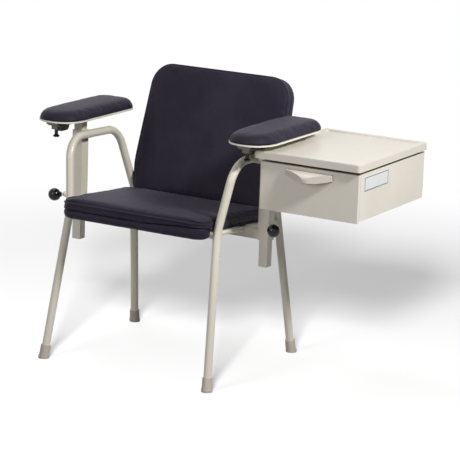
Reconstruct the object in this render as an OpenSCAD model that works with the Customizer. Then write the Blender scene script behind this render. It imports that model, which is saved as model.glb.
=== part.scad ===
// Blood drawing chair with two bent tube side frames, a padded seat and back,
// two arm pads that rise on clamped square posts, and a cantilevered side
// cabinet with one drawer. Left and right are as seen from the front, and the
// front of the chair faces -Y. The floor is z = 0.

/* [Side frames] */
// Outside diameter of the frame tube
tube_d = 22.2; // [20:0.1:24]
// Wall of every round tube
tube_wall = 1.6; // [1:0.1:2.5]
// Legs at the floor: distance of each from the chair's centre plane
foot_half = 257.5; // [245:0.5:270]
// Frames at seat level: distance of each from the chair's centre plane
waist_half = 229.8; // [224:0.1:236]
// Arches: distance of each from the chair's centre plane
arch_half = 258.1; // [254:0.1:264]
// Front foot ahead of the chair's middle
foot_front = 254.2; // [245:0.2:262]
// Rear foot behind the chair's middle
foot_rear = 206.0; // [200:0.5:225]
// Front kink ahead of the middle
waist_front = 180.9; // [176:0.1:186]
// Rear kink behind the middle
waist_rear = 139.5; // [136:0.1:144]
// Height of the front kink
waist_front_z = 406; // [400:0.5:410]
// Height of the rear kink
waist_rear_z = 411.5; // [404:0.5:416]
// Front corner of the arch ahead of the middle
arch_front = 145.8; // [140:0.1:150]
// Rear corner of the arch behind the middle
arch_rear = 91.0; // [86:0.1:96]
// Height of the arch at its front corner
arch_front_z = 593.3; // [590:0.1:597]
// Height of the arch at its rear corner
arch_rear_z = 583.6; // [580:0.1:590]
// Bend radius of the arch corners
arch_bend = 65; // [50:1:72]
// Bend radius of the kinks in the legs
waist_bend = 90; // [60:1:120]

/* [Feet] */
// Diameter of a rubber foot at the floor
foot_d = 30; // [29:0.5:34]
// Height of a rubber foot
foot_h = 36; // [30:1:44]

/* [Seat] */
// Slope of the seat down to the back, in degrees
seat_pitch = 4.5; // [3:0.1:6]
// Depth of the seat cushion
seat_depth = 349; // [340:1:352]
// How far the seat reaches ahead of the front legs
seat_lead = 65; // [58:0.5:72]
// Thickness of the cushion at its edge
seat_edge_t = 20; // [16:0.5:24]
// Rise of the cushion's crown above its edge
seat_crown = 9; // [5:0.5:14]
// Height of the padded roll under the front edge
roll_h = 27; // [20:0.5:30]

/* [Back] */
// Lean of the back from upright, in degrees
back_recline = 17.1; // [14:0.1:20]
// Width of the back cushion where it is widest
back_w = 458; // [450:1:462]
// Width of the back cushion at its top
back_top_w = 434; // [420:1:442]
// Length of the back above the seat line
back_up = 364; // [330:1:390]
// Depth of the back below the seat line
back_down = 12; // [8:0.5:16]
// Thickness of the back cushion at its edge
back_pad_t = 33; // [28:0.5:36]
// Rise of the back cushion's crown
back_crown = 7; // [4:0.5:10]
// Radius of the back's upper corners
back_top_r = 62; // [45:1:75]

/* [Arms] */
// Side of the square inner post
post_w = 25.4; // [22:0.1:26]
// Side of the square outer sleeve
sleeve_w = 31.75; // [31.2:0.05:33]
// Length of a sleeve
sleeve_len = 222; // [221:1:226]
// Height of a sleeve's top
sleeve_top = 594.6; // [592:0.1:597]
// Distance of the posts ahead of the middle
post_lead = 37.5; // [34:0.5:42]
// Length of an inner post below its sleeve's top, arm lowered
post_len = 307; // [290:1:315]
// Length of an arm pad
arm_len = 350; // [335:1:370]
// Width of an arm board
arm_w = 134; // [124:1:140]
// Front end of an arm pad ahead of the middle
arm_lead = 187; // [183:1:198]
// Height of the underside of an arm board, arm lowered
arm_z = 633.9; // [631:0.1:637]
// How much higher the right arm is set
right_lift = 12.6; // [12:0.1:30]
// Thickness of an arm board
arm_board_t = 4.4; // [4:0.2:7]
// Height of an arm pad at its middle
arm_pad_h = 30; // [26:0.5:38]

/* [Clamp knobs] */
// Diameter of a ball knob
ball_d = 35; // [30:0.5:38]
// Distance of a ball knob's centre from its post's axis
ball_out = 69.5; // [67:0.5:71]
// Height of the ball knobs
ball_z = 413; // [405:0.5:425]
// Diameter of the screws of both kinds of knob
screw_d = 8; // [6:0.5:9]

/* [Cabinet] */
// Width of the cabinet shell
shell_w = 279.2; // [265:0.2:290]
// Depth of the cabinet shell
shell_depth = 375.5; // [365:0.5:380]
// Height of the cabinet shell
shell_h = 124.9; // [118:0.1:127]
// Height of the shell's top edge
shell_top = 606.4; // [605.5:0.1:607.5]
// Front of the drawer ahead of the middle
drawer_lead = 136.8; // [134:0.1:140]
// Gap between the right sleeve and the shell
shell_off = 17.95; // [16:0.05:20]
// Thickness of the drawer front
front_t = 11.5; // [9:0.1:13]
// Thickness of sheet metal
sheet = 1.5; // [1.2:0.1:2]
// Height of the tray top
tray_h = 19.6; // [17:0.2:21]
// Reveal between the shell and the tray top
tray_reveal = 6.6; // [5.8:0.1:7]
// Radius of the tray's corners
tray_r = 8; // [6:0.5:12]
// Width of the drawer pull
pull_w = 135; // [110:1:150]
// Reach of the drawer pull
pull_out = 31; // [26:0.5:36]
// Height of the drawer pull
pull_h = 24; // [20:0.5:27]

/* [Hidden] */
$fn = 64;

// Colours as the photograph shows them
paint = "#cfc9b8";
cream = "#dcd6c8";
vinyl = "#2e2836";
black = "#151417";
rubber = "#b8a592";
steel = "#9a9a98";
label = "#d7d9d8";

// Sides, clearances and steps that many pieces share
LEFT = -1;
RIGHT = 1;
overrun = 1;
weld_gap = 0.05;
bend_gap = 0.3;
slide_gap = 0.3;
mark_w = 1.4;
mark_rise = 0.2;
soft_gap = 0.4;
facets = 64;
corner_steps = 7;
side_steps = 20;
side_spread_share = 1.6;
front_steps = 5;
arm_steps = 9;
least_radius_share = 0.16;

// Under the seat: the square cross tube, the rails and the round cross tubes
tab_reach = 11.3;
cross_w = 25.4;
cross_wall = 1.6;
rail_d = 12.7;
seat_board_t = 5.5;
rear_cross_z = 362;
post_x = arch_half + tube_d / 2 + tab_reach + sleeve_w / 2;
post_y = -post_lead;
seat_plane_z = waist_front_z + tube_d / 2;
cross_top = seat_z(post_y + cross_w / 2) - seat_board_t - slide_gap;
cross_half = post_x - sleeve_w / 2;
front_cross_half = waist_half - rail_d / 2 - slide_gap;
frame_bends = [waist_bend, arch_bend, arch_bend, waist_bend];

// Rubber feet
tip_floor = 6;
foot_disc_h = 7;
foot_base_share = 0.94;
foot_mouth_t = 2.4;

// Sleeves, with the clamp boss along the screw's axis
sleeve_bore = post_w + 2 * slide_gap;
boss_root = sleeve_bore / 2 * sqrt(2) + slide_gap;
boss_end = 44;
boss_root_d = 20;
boss_end_d = 14;
tab_w = 25;
tab_h = 16;
tab_drop = 4;

// Seat
seat_side_in = 3.8;
seat_half = waist_half - seat_side_in;
seat_front_r = 38;
seat_rear_r = 24;
seat_board_inset = 1.5;
seat_board_r = 6;
seam_in = 1.8;

// The cushion gives way round each front leg
leg_clear = 0.4;
leg_dent = tube_d / 2 - seat_side_in + leg_clear;
leg_dent_y = 2;
leg_dent_w = 17;
dent_fade = 70;

// Each ring of a cushion: its inset as a share of a seam's depth, and its
// height as a share of the edge. Crown rings: shares of half the width and of
// the crown.
seat_band_shares = [[1.6, 0], [0, 0.16], [0.2, 0.36], [1, 0.52], [0.2, 0.66], [0.3, 0.9], [2, 1]];
crown_shares = [[0.03, 0.28], [0.09, 0.5], [0.22, 0.76], [0.4, 0.91], [0.62, 0.98]];

// Padded roll under the seat's front edge
roll_leg_clear = 6;
roll_depth = seat_lead - tube_d / 2 - roll_leg_clear;
roll_front_r = 36;
roll_rear_r = 8;

// Its rings: inset, height, and how much further its ends draw in
roll_band_shares = [[5, 0, 3.5], [1.6, 0.08, 3.2], [0, 0.3, 2.6], [0, 0.62, 1.8], [0.8, 0.84, 1],
    [2.6, 1, 0.8]];

// Bolts that hold the seat board down on the two cross tubes
seat_bolt_x = 150;
seat_bolt_d = 6;
bolt_clear = 0.3;
bolt_head_d = 12;
bolt_head_h = 4;
bolt_bite = 4;
bolt_top = bolt_bite - seat_board_t;
arm_cross_y = (post_y + waist_front) / cos(seat_pitch);
cross_drop = cross_w + seat_z(post_y - cross_w / 2) - cross_top;
seat_bolt_rows = [[0, tube_d + seat_board_t], [arm_cross_y, cross_drop]];

// Back: place of its foot line, board, flat bars and bolts
back_y = 108;
back_z = 414;
back_half = back_w / 2;
back_top_half = back_top_w / 2;
back_wide_y = 70;
back_side_blend = 3;
back_low_r = 30;
back_board_t = 10;
back_board_inset = 4;
back_total_t = back_pad_t + soft_gap + back_board_t;
back_band_shares = [[1.6, 0], [0, 0.08], [0.2, 0.3], [1.2, 0.4], [0.1, 0.5], [0.1, 0.78],
    [1, 0.88], [0.6, 0.94], [2.2, 1]];
bar_w = 32;
bar_t = 5;
bar_x = 105;
bar_top = 236;
bar_low = -60;
back_bolt_d = 6;
back_bolt_bite = 7;
back_bolt_rows = [70, 205];

// Arm: the tongue on the post and the guides under the board
tongue_w = 36;
tongue_t = 6;
tongue_front = 178;
tongue_rear = 95;
guide_t = 2;
guide_flange = 10;
guide_lip = 4.8;
guide_front = 150;
guide_rear = 120;
guide_x = tongue_w / 2 + slide_gap;
guide_z = tongue_t + 2 * slide_gap + guide_t;

// Arm outline: a blunt elliptic front end and round rear corners
arm_nose = 80;
arm_rear_r = 54;
nose_power_share = 2.25;
nose_steps = 22;

// Arm pad rings: inset as a share of half the width, height as a share
pad_inset = 1.6;
pad_ring_shares = [[0.02, 0], [0, 0.08], [0.012, 0.3], [0.04, 0.5], [0.09, 0.64], [0.17, 0.76],
    [0.28, 0.86], [0.42, 0.93], [0.6, 0.98]];

// Clamp block under the guides, with its stepped boss and screw
clamp_front = 166;
clamp_rear = 108;
clamp_w = 19;
clamp_plate_t = 3;
clamp_step_z = 21;
clamp_low_z = 28;
clamp_step_y = 144;
clamp_chamfer = 7;
slide_screw_y = 156;
slide_screw_d = 6;

// Small flanged knob on the clamp screw
knob_d = 18;
knob_stem_d = 9.6;
knob_h = 20;
knob_cap_t = 4;
knob_flare = 3;
knob_gap = 1.2;
knob_bore = 10;
knob_top = clamp_step_z + knob_gap;

// Ball knob
ball_neck_d = 14;
ball_neck_h = 3;
ball_bore = 16;

// Cabinet: where the shell, the front and the tray stand
front_gap = 0.8;
front_over = 1.5;
front_drop = 2.1;
shell_return = 9;
shell_x0 = post_x + sleeve_w / 2 + shell_off;
shell_x1 = shell_x0 + shell_w;
shell_y0 = -drawer_lead + front_t + front_gap;
shell_y1 = shell_y0 + shell_depth;
shell_z0 = shell_top - shell_h;
tray_post_gap = 0.7;
tray_side = 8;
tray_front = 8.7;
tray_x0 = post_x + post_w / 2 + tray_post_gap;
tray_x1 = shell_x1 + tray_side;
tray_y0 = -drawer_lead - tray_front;
tray_z0 = shell_top + tray_reveal;
tray_edge_r = 3.5;
tray_lip = 18;
tray_inner_r = 4;
tray_sink = 2.2;
edge_slices = 4;
spacer_w = 16;
spacer_in = 9;

// Bracket, stay and stiffeners that carry the cabinet
bracket_plate_t = 4;
bracket_front = 95;
bracket_rear = 20;
bracket_h = 92;
bracket_drop = 14;
bracket_wall = 3;
bracket_bolt_in = 13;
bracket_z0 = shell_top - bracket_drop - bracket_h;
bolt_rows_z = [bracket_z0 + bracket_bolt_in, bracket_z0 + bracket_h - bracket_bolt_in];
stay_y = 46;
stay_t = 5;
stay_h = 24;
stay_foot = 30;
stiffener_t = 3;
stiffener_w = 24;
stiffener_in = 15;
wall_bolt_d = 6;
wall_nut_t = 4;
wall_head_t = 2.5;

// Drawer box, its rails and the runners on the shell's walls
runner_d = 10;
runner_inner_h = 12.8;
runner_up = 66;
runner_front = 6;
runner_rear_gap = 17.5;
runner_len = shell_depth - runner_front - runner_rear_gap;
runner_z = shell_z0 + runner_up;
rail_h = 12;
rail_inset = 1;
rail_start = 2;
box_gap = 1;
box_rear_gap = 16;
box_floor_gap = 2;
box_h = 88;
box_x0 = shell_x0 + sheet + runner_d + box_gap;
box_x1 = shell_x1 - sheet - runner_d - box_gap;
box_y0 = -drawer_lead + sheet;
box_y1 = shell_y1 - box_rear_gap;
box_z0 = shell_z0 + shell_return + box_floor_gap;
bumper_d = 12;
bumper_x_shares = [0.15, 0.85];
rivet_d = 5;
rivet_head = 1.2;
rivet_shank_d = 3;
rivet_end = 0.6;
rivet_x_shares = [0.2, 0.8];
rivet_z_shares = [0.25, 0.75];

// Cup pull
pull_end = 6;
pull_nose_r = 30;
pull_wall = 3;
pull_drop = 10.9;
pull_lip_share = 0.3;
pull_steps = 8;
pull_end_share = 0.66;
pull_flat_share = 0.22;
pull_top = shell_top - pull_drop;

// Bare plate on the outer wall
plate_w = 134;
plate_h = 37;
plate_t = 1;
plate_front = 100;
plate_drop = 12.4;

// The box round the whole chair, which sets the origin at its bottom centre
reach_left = post_x + arm_w / 2;
reach_front = foot_front + foot_d / 2;
reach_rear = back_y + sin(back_recline) * back_up + cos(back_recline) * back_total_t;
origin_x = (tray_x1 - reach_left) / 2;
origin_y = (reach_rear - reach_front) / 2;

module stand() {
    translate([-origin_x, -origin_y, 0]) children();
}

function unit(v) = v / norm(v);
function mix(a, b, share) = a + (b - a) * share;

// Height of the plane that the seat lies on, at a distance y from the middle
function seat_z(y) = seat_plane_z - tan(seat_pitch) * (y + waist_front);

module in_seat() {
    translate([0, -waist_front, seat_plane_z]) rotate([-seat_pitch, 0, 0]) children();
}

// In the back's own frame x is across, y runs up the back and z to the front
module in_back() {
    translate([0, back_y, back_z]) rotate([90 - back_recline, 0, 0]) children();
}

// Children stand on p with their Z towards q
module towards(p, q) {
    d = unit(q - p);
    translate(p) rotate([0, acos(d.z), atan2(d.y, d.x)]) children();
}

// A straight run of a bent rod, cut back at both ends for its bends
module run(p, q, cut_p, cut_q, d) {
    towards(p, q) translate([0, 0, cut_p]) cylinder(d = d, h = norm(q - p) - cut_p - cut_q);
}

// The faint ring that the bending tool leaves where a bend meets its run
module bend_mark(p, q, cut, d) {
    towards(p, q) translate([0, 0, cut - mark_w / 2]) cylinder(d = d + 2 * mark_rise, h = mark_w);
}

// One bend of radius r at the corner p between the runs from a and to b
module bend(a, p, b, r, d) {
    u = unit(p - a);
    w = unit(b - p);
    turn = acos(u * w);
    inward = unit(w - (u * w) * u);
    start = p - u * bend_cut(a, p, b, r);
    centre = start + inward * r;
    side = cross(-inward, u);
    multmatrix([
        [-inward.x, u.x, side.x, centre.x],
        [-inward.y, u.y, side.y, centre.y],
        [-inward.z, u.z, side.z, centre.z],
        [0, 0, 0, 1]
    ])
        rotate_extrude(angle = turn, $fn = 2 * facets) translate([r, 0]) circle(d = d);
}

function bend_cut(a, p, b, r) = r * tan(acos(unit(p - a) * unit(b - p)) / 2);

// A rod of diameter d through points, with a bend radius for each inner point
module bent_rod(points, radii, d) {
    last = len(points) - 1;
    cuts = [for (i = [0:last])
        i == 0 || i == last ? 0
            : bend_cut(points[i - 1], points[i], points[i + 1], radii[i - 1])];
    starts = [for (i = [0:last - 1]) cuts[i] + (i > 0 ? bend_gap : 0)];
    ends = [for (i = [1:last]) cuts[i] + (i < last ? bend_gap : 0)];
    for (i = [0:last - 1]) run(points[i], points[i + 1], starts[i], ends[i], d);
    for (i = [1:last - 1]) {
        bend(points[i - 1], points[i], points[i + 1], radii[i - 1], d);
        bend_mark(points[i], points[i - 1], cuts[i], d);
        bend_mark(points[i], points[i + 1], cuts[i], d);
    }
}

// Centre line of a side frame from the front foot over the arch to the rear foot
function frame_points(side) = [
    mix([side * foot_half, -foot_front, 0], [side * waist_half, -waist_front, waist_front_z],
        tip_floor / waist_front_z),
    [side * waist_half, -waist_front, waist_front_z],
    [side * arch_half, -arch_front, arch_front_z],
    [side * arch_half, arch_rear, arch_rear_z],
    [side * waist_half, waist_rear, waist_rear_z],
    mix([side * foot_half, foot_rear, 0], [side * waist_half, waist_rear, waist_rear_z],
        tip_floor / waist_rear_z)
];

module frame_rod(side, d) {
    bent_rod(frame_points(side), frame_bends, d);
}

module side_frame(side) {
    difference() {
        frame_rod(side, tube_d);
        frame_rod(side, tube_d - 2 * tube_wall);
    }
}

module side_frame_left() {
    color(paint) stand() side_frame(LEFT);
}

module side_frame_right() {
    color(paint) stand() side_frame(RIGHT);
}

// Point on the rear leg's centre line at height z
function rear_leg(side, z) =
    mix([side * waist_half, waist_rear, waist_rear_z], [side * foot_half, foot_rear, 0],
        (waist_rear_z - z) / waist_rear_z);

// Rubber foot: a flat disc on the floor and a tapered socket round the leg's end
module foot(base, up) {
    difference() {
        union() {
            translate([base.x, base.y, 0]) cylinder(d = foot_d, h = foot_disc_h);
            towards(base, up)
                cylinder(d1 = foot_d * foot_base_share, d2 = tube_d + 2 * foot_mouth_t, h = foot_h);
        }
        towards(base, up)
            translate([0, 0, tip_floor]) cylinder(d = tube_d + 2 * weld_gap, h = foot_h);
        translate([base.x, base.y, -foot_d]) cube([foot_d * 2, foot_d * 2, foot_d * 2], center = true);
    }
}

module front_foot(side) {
    foot([side * foot_half, -foot_front, 0], [side * waist_half, -waist_front, waist_front_z]);
}

module rear_foot(side) {
    foot([side * foot_half, foot_rear, 0], [side * waist_half, waist_rear, waist_rear_z]);
}

module foot_front_left() {
    color(rubber) stand() front_foot(LEFT);
}

module foot_front_right() {
    color(rubber) stand() front_foot(RIGHT);
}

module foot_rear_left() {
    color(rubber) stand() rear_foot(LEFT);
}

module foot_rear_right() {
    color(rubber) stand() rear_foot(RIGHT);
}

// A hollow tube whose ends are coped round both side frames
module coped_tube(p, q, d) {
    difference() {
        run(p, q, 0, 0, d);
        towards(p, q) translate([0, 0, -overrun])
            cylinder(d = d - 2 * tube_wall, h = norm(q - p) + 2 * overrun);
        for (side = [LEFT, RIGHT]) frame_rod(side, tube_d + 2 * weld_gap);
    }
}

// Rods on the seat bolts' axes, from below the cross tubes into the board
module seat_bolt_rods(d, extra) {
    for (side = [LEFT, RIGHT])
        for (row = seat_bolt_rows)
            translate([side * seat_bolt_x, row[0], -row[1] - bolt_clear - extra])
                cylinder(d = d, h = row[1] + bolt_clear + bolt_top + 2 * extra);
}

module seat_bolt_holes() {
    in_seat() seat_bolt_rods(seat_bolt_d + bolt_clear, bolt_clear);
}

module front_cross_tube() {
    z = waist_front_z - seat_board_t;
    color(paint) stand() difference() {
        coped_tube([-front_cross_half, -waist_front, z], [front_cross_half, -waist_front, z], tube_d);
        seat_bolt_holes();
    }
}

module rear_cross_tube() {
    color(paint) stand()
        coped_tube(rear_leg(LEFT, rear_cross_z), rear_leg(RIGHT, rear_cross_z), tube_d);
}

// Square tube under the seat that carries both arm sleeves at its ends
module arm_cross_tube() {
    inner = cross_w - 2 * cross_wall;
    color(paint) stand() difference() {
        translate([-cross_half, post_y - cross_w / 2, cross_top - cross_w])
            cube([2 * cross_half, cross_w, cross_w]);
        translate([-cross_half - overrun, post_y - inner / 2, cross_top - cross_w + cross_wall])
            cube([2 * (cross_half + overrun), inner, inner]);
        seat_bolt_holes();
    }
}

// Each seat rail is two lengths that meet the square cross tube
module seat_rail(side) {
    drop = seat_board_t + rail_d / 2;
    front = [side * waist_half, -waist_front, seat_z(-waist_front) - drop];
    leg = rear_leg(side, seat_z(waist_rear) - drop);
    rear = [leg.x, leg.y, seat_z(leg.y) - drop];
    difference() {
        run(front, rear, 0, 0, rail_d);
        towards(front, rear) translate([0, 0, -overrun])
            cylinder(d = rail_d - 2 * tube_wall, h = norm(rear - front) + 2 * overrun);
        frame_rod(side, tube_d + 2 * weld_gap);
        translate([side * waist_half, post_y, cross_top])
            cube([2 * cross_w, cross_w + 2 * weld_gap, 2 * cross_w], center = true);
    }
}

module seat_rail_left() {
    color(paint) stand() seat_rail(LEFT);
}

module seat_rail_right() {
    color(paint) stand() seat_rail(RIGHT);
}

// Outer sleeve with the clamp boss on its front outer corner
module on_post(side) {
    translate([side * post_x, post_y, 0]) children();
}

// Children lie along the clamp screw, +Z outwards from the post's axis
module along_screw(side) {
    on_post(side) translate([0, 0, ball_z]) rotate([90, 0, side * 45]) children();
}

module sleeve(side) {
    difference() {
        union() {
            on_post(side) translate([-sleeve_w / 2, -sleeve_w / 2, sleeve_top - sleeve_len])
                cube([sleeve_w, sleeve_w, sleeve_len]);
            along_screw(side) translate([0, 0, boss_root])
                cylinder(d1 = boss_root_d, d2 = boss_end_d, h = boss_end - boss_root);
        }
        on_post(side) translate([-sleeve_bore / 2, -sleeve_bore / 2, sleeve_top - sleeve_len - overrun])
            cube([sleeve_bore, sleeve_bore, sleeve_len + 2 * overrun]);
        along_screw(side) cylinder(d = screw_d + 2 * weld_gap, h = boss_end + overrun);
    }
}

module sleeve_left() {
    color(paint) stand() sleeve(LEFT);
}

module sleeve_right() {
    color(paint) stand() sleeve(RIGHT);
}

// Tab that welds the arch to the top of the sleeve
module sleeve_tab(side) {
    arch_z = mix(arch_front_z, arch_rear_z, (post_y + arch_front) / (arch_rear + arch_front));
    difference() {
        translate([side * (arch_half + cross_half) / 2, post_y, arch_z - tab_drop])
            cube([cross_half - arch_half, tab_w, tab_h], center = true);
        frame_rod(side, tube_d + 2 * weld_gap);
    }
}

module sleeve_tab_left() {
    color(paint) stand() sleeve_tab(LEFT);
}

module sleeve_tab_right() {
    color(paint) stand() sleeve_tab(RIGHT);
}

// Points of a rectangle with round corners, anticlockwise from the left side.
// Its front corners have radius rf and its rear corners rr, and the points of
// its sides crowd towards the front.
function arc_points(c, r, from, to) =
    [for (i = [0:corner_steps]) c + r * [cos(mix(from, to, i / corner_steps)),
        sin(mix(from, to, i / corner_steps))]];
function line_points(a, b, steps, spread = 1) =
    [for (i = [1:steps - 1]) mix(a, b, pow(i / steps, spread))];
function reversed(list) = [for (i = [len(list) - 1:-1:0]) list[i]];

function round_box(x, y0, y1, rf, rr) = concat(
    reversed(line_points([-x, y0 + rf], [-x, y1 - rr], side_steps, side_spread_share)),
    arc_points([-x + rf, y0 + rf], rf, 180, 270),
    line_points([-x + rf, y0], [x - rf, y0], front_steps),
    arc_points([x - rf, y0 + rf], rf, 270, 360),
    line_points([x, y0 + rf], [x, y1 - rr], side_steps, side_spread_share),
    arc_points([x - rr, y1 - rr], rr, 0, 90),
    line_points([x - rr, y1], [-x + rr, y1], front_steps),
    arc_points([-x + rr, y1 - rr], rr, 90, 180));

// A closed body through rings of points that rise from its underside to its top
module loft(rings) {
    n = len(rings[0]);
    m = len(rings);
    low = m * n;
    high = m * n + 1;
    points = concat([for (ring = rings) for (p = ring) p],
        [middle(rings[0]), middle(rings[m - 1])]);
    sides = [for (i = [0:m - 2]) for (j = [0:n - 1]) let (k = (j + 1) % n)
        each [[i * n + j, i * n + n + j, i * n + n + k], [i * n + j, i * n + n + k, i * n + k]]];
    caps = [for (j = [0:n - 1]) let (k = (j + 1) % n)
        each [[low, j, k], [high, low - n + k, low - n + j]]];
    polyhedron(points, concat(sides, caps));
}

function middle(ring) = [for (axis = [0:2]) sum([for (p = ring) p[axis]]) / len(ring)];
function sum(v, i = 0) = i == len(v) ? 0 : v[i] + sum(v, i + 1);
function at_height(ring, z) = [for (p = ring) [p.x, p.y, z]];
function held(radius, inset) = max(radius - inset, radius * least_radius_share);

// Seat cushion: its outline gives way round each front leg
function dent(p, inset) =
    let (fall = exp(-pow((p.y - leg_dent_y) / leg_dent_w, 4)))
    [p.x - sign(p.x) * leg_dent * fall * max(0, 1 - inset / dent_fade), p.y];

function seat_ring(inset, z) = at_height(
    [for (p = round_box(seat_half - inset, -seat_lead + inset, seat_depth - seat_lead - inset,
        held(seat_front_r, inset), held(seat_rear_r, inset))) dent(p, inset)], z);

// Each ring of a cushion: inset from the outline, and height as a share of
// the edge for the band, then of the crown
module seat_cushion() {
    rings = concat(
        [for (s = seat_band_shares) seat_ring(s[0] * seam_in, mix(soft_gap, seat_edge_t, s[1]))],
        [for (s = crown_shares) seat_ring(seam_in * 2 + s[0] * seat_half,
            seat_edge_t + s[1] * seat_crown)]);
    color(vinyl) stand() in_seat() loft(rings);
}

// Covered board behind the roll, which lies on the cross tubes and the rails
module seat_board() {
    x = seat_half - seat_board_inset;
    color(vinyl) stand() difference() {
        in_seat() translate([0, 0, 2 * weld_gap - seat_board_t])
            linear_extrude(seat_board_t - 2 * weld_gap)
                polygon([for (p = round_box(x, roll_depth - seat_lead + soft_gap,
                    seat_depth - seat_lead - seat_board_inset, seat_board_r, seat_rear_r)) dent(p, 0)]);
        seat_bolt_holes();
    }
}

// Padded roll that hangs under the seat's front edge, ahead of the cross tube
function roll_ring(inset, z, side_inset) = at_height(
    round_box(seat_half - inset - side_inset, -seat_lead + inset, roll_depth - seat_lead - inset,
        held(roll_front_r, inset), held(roll_rear_r, inset)), z);

module seat_front_roll() {
    rings = [for (s = roll_band_shares)
        roll_ring(s[0] * seam_in, mix(-roll_h, -soft_gap, s[1]), s[2] * seam_in)];
    color(vinyl) stand() in_seat() loft(rings);
}

module seat_bolts() {
    color(steel) stand() in_seat() {
        seat_bolt_rods(seat_bolt_d, 0);
        for (side = [LEFT, RIGHT])
            for (row = seat_bolt_rows)
                translate([side * seat_bolt_x, row[0], -row[1] - bolt_clear - bolt_head_h])
                    cylinder(d = bolt_head_d, h = bolt_head_h);
    }
}

// Back: board, cushion and the two flat bars that stand on the rear cross tube
// Its sides draw in to the top, and keep inside the rear legs near the seat
function back_side(y) =
    let (
        rise = back_z + y * cos(back_recline) - back_total_t * sin(back_recline) - waist_rear_z,
        low = waist_half - tube_d / 2 - 2 * leg_clear
            + max(0, rise) * (arch_half - waist_half) / (arch_rear_z - waist_rear_z),
        high = mix(back_half, back_top_half, (y - back_wide_y) / (back_up - back_wide_y))
    )
    (low + high - norm([low - high, back_side_blend])) / 2;

function back_outline(inset, shrink) =
    [for (p = round_box(back_half - inset, -back_down + inset, back_up - shrink,
        held(back_low_r, inset), held(back_top_r, inset)))
        [p.x * back_side(p.y) / back_half, p.y]];

function back_ring(inset, z) = at_height(back_outline(inset, inset), z);

module back_cushion() {
    rings = concat(
        [for (s = back_band_shares) back_ring(s[0] * seam_in, mix(-back_pad_t, 0, s[1]))],
        [for (s = crown_shares) back_ring(seam_in * 2 + s[0] * back_half, s[1] * back_crown)]);
    color(vinyl) stand() in_back() loft(rings);
}

module back_bolt_places() {
    for (side = [LEFT, RIGHT])
        for (y = back_bolt_rows)
            translate([side * bar_x, y, -back_total_t - bar_t]) children();
}

module back_board() {
    color(vinyl) stand() in_back() difference() {
        translate([0, 0, -back_total_t]) linear_extrude(back_board_t)
            polygon(back_outline(back_board_inset, 0));
        back_bolt_places()
            cylinder(d = back_bolt_d + bolt_clear, h = bar_t + back_bolt_bite + bolt_clear);
    }
}

module back_uprights() {
    color(paint) stand() difference() {
        in_back() difference() {
            for (side = [LEFT, RIGHT])
                translate([side * bar_x - bar_w / 2, bar_low, -back_total_t - bar_t])
                    cube([bar_w, bar_top - bar_low, bar_t]);
            back_bolt_places() translate([0, 0, -overrun])
                cylinder(d = back_bolt_d + bolt_clear, h = bar_t + 2 * overrun);
        }
        leg = rear_leg(RIGHT, rear_cross_z);
        translate([-back_half, leg.y, leg.z]) rotate([0, 90, 0])
            cylinder(d = tube_d + 2 * weld_gap, h = back_w);
        translate([0, leg.y, leg.z - tube_d]) cube([back_w, 4 * tube_d, 2 * tube_d], center = true);
    }
}

module back_bolts() {
    color(steel) stand() in_back() back_bolt_places() {
        translate([0, 0, -bolt_head_h]) cylinder(d = bolt_head_d, h = bolt_head_h);
        cylinder(d = back_bolt_d, h = bar_t + back_bolt_bite);
    }
}

// Arms: lift is how far an arm is raised above its lowest setting
function lift(side) = side == RIGHT ? right_lift : 0;

module on_arm(side) {
    translate([side * post_x, 0, arm_z + lift(side)]) children();
}

module arm_post(side) {
    top = -slide_gap - tongue_t;
    len = arm_z - sleeve_top + top + post_len;
    inner = post_w - 2 * cross_wall;
    on_arm(side) difference() {
        translate([-post_w / 2, post_y - post_w / 2, top - len]) cube([post_w, post_w, len]);
        translate([-inner / 2, post_y - inner / 2, top - len - overrun])
            cube([inner, inner, len + overrun - cross_wall]);
    }
}

module arm_post_left() {
    color(paint) stand() arm_post(LEFT);
}

module arm_post_right() {
    color(paint) stand() arm_post(RIGHT);
}

// Flat bar across the top of the post that the arm board slides on
module arm_tongue(side) {
    on_arm(side) translate([-tongue_w / 2, -tongue_front, -slide_gap - tongue_t])
        cube([tongue_w, tongue_front + tongue_rear, tongue_t]);
}

module arm_tongue_left() {
    color(steel) stand() arm_tongue(LEFT);
}

module arm_tongue_right() {
    color(steel) stand() arm_tongue(RIGHT);
}

// Arm outline: a blunt elliptic front end and round rear corners
function power(v) = sign(v) * pow(abs(v), 2 / nose_power_share);

function arm_outline(inset) =
    let (
        x = arm_w / 2 - inset,
        y0 = -arm_lead + arm_nose,
        reach = arm_nose - inset,
        y1 = arm_len - arm_lead - inset,
        r = held(arm_rear_r, inset)
    )
    concat(
        [for (i = [0:nose_steps]) let (a = 180 + 180 * i / nose_steps)
            [x * power(cos(a)), y0 + reach * power(sin(a))]],
        line_points([x, y0], [x, y1 - r], arm_steps),
        arc_points([x - r, y1 - r], r, 0, 90),
        arc_points([-x + r, y1 - r], r, 90, 180),
        line_points([-x, y1 - r], [-x, y0], arm_steps));

module arm_board(side) {
    on_arm(side) linear_extrude(arm_board_t) polygon(arm_outline(0));
}

module arm_board_left() {
    color(cream) stand() arm_board(LEFT);
}

module arm_board_right() {
    color(cream) stand() arm_board(RIGHT);
}

// Two Z section guides under the board that hook under the tongue
module arm_guides(side) {
    outline = [
        [guide_x - guide_lip, 0], [guide_x + guide_t, 0],
        [guide_x + guide_t, guide_z - guide_t], [guide_x + guide_t + guide_flange, guide_z - guide_t],
        [guide_x + guide_t + guide_flange, guide_z], [guide_x, guide_z],
        [guide_x, guide_t], [guide_x - guide_lip, guide_t]
    ];
    on_arm(side) for (hand = [LEFT, RIGHT])
        mirror([hand == LEFT ? 1 : 0, 0, 0]) translate([0, guide_rear, -guide_z])
            rotate([90, 0, 0]) linear_extrude(guide_front + guide_rear) polygon(outline);
}

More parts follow.
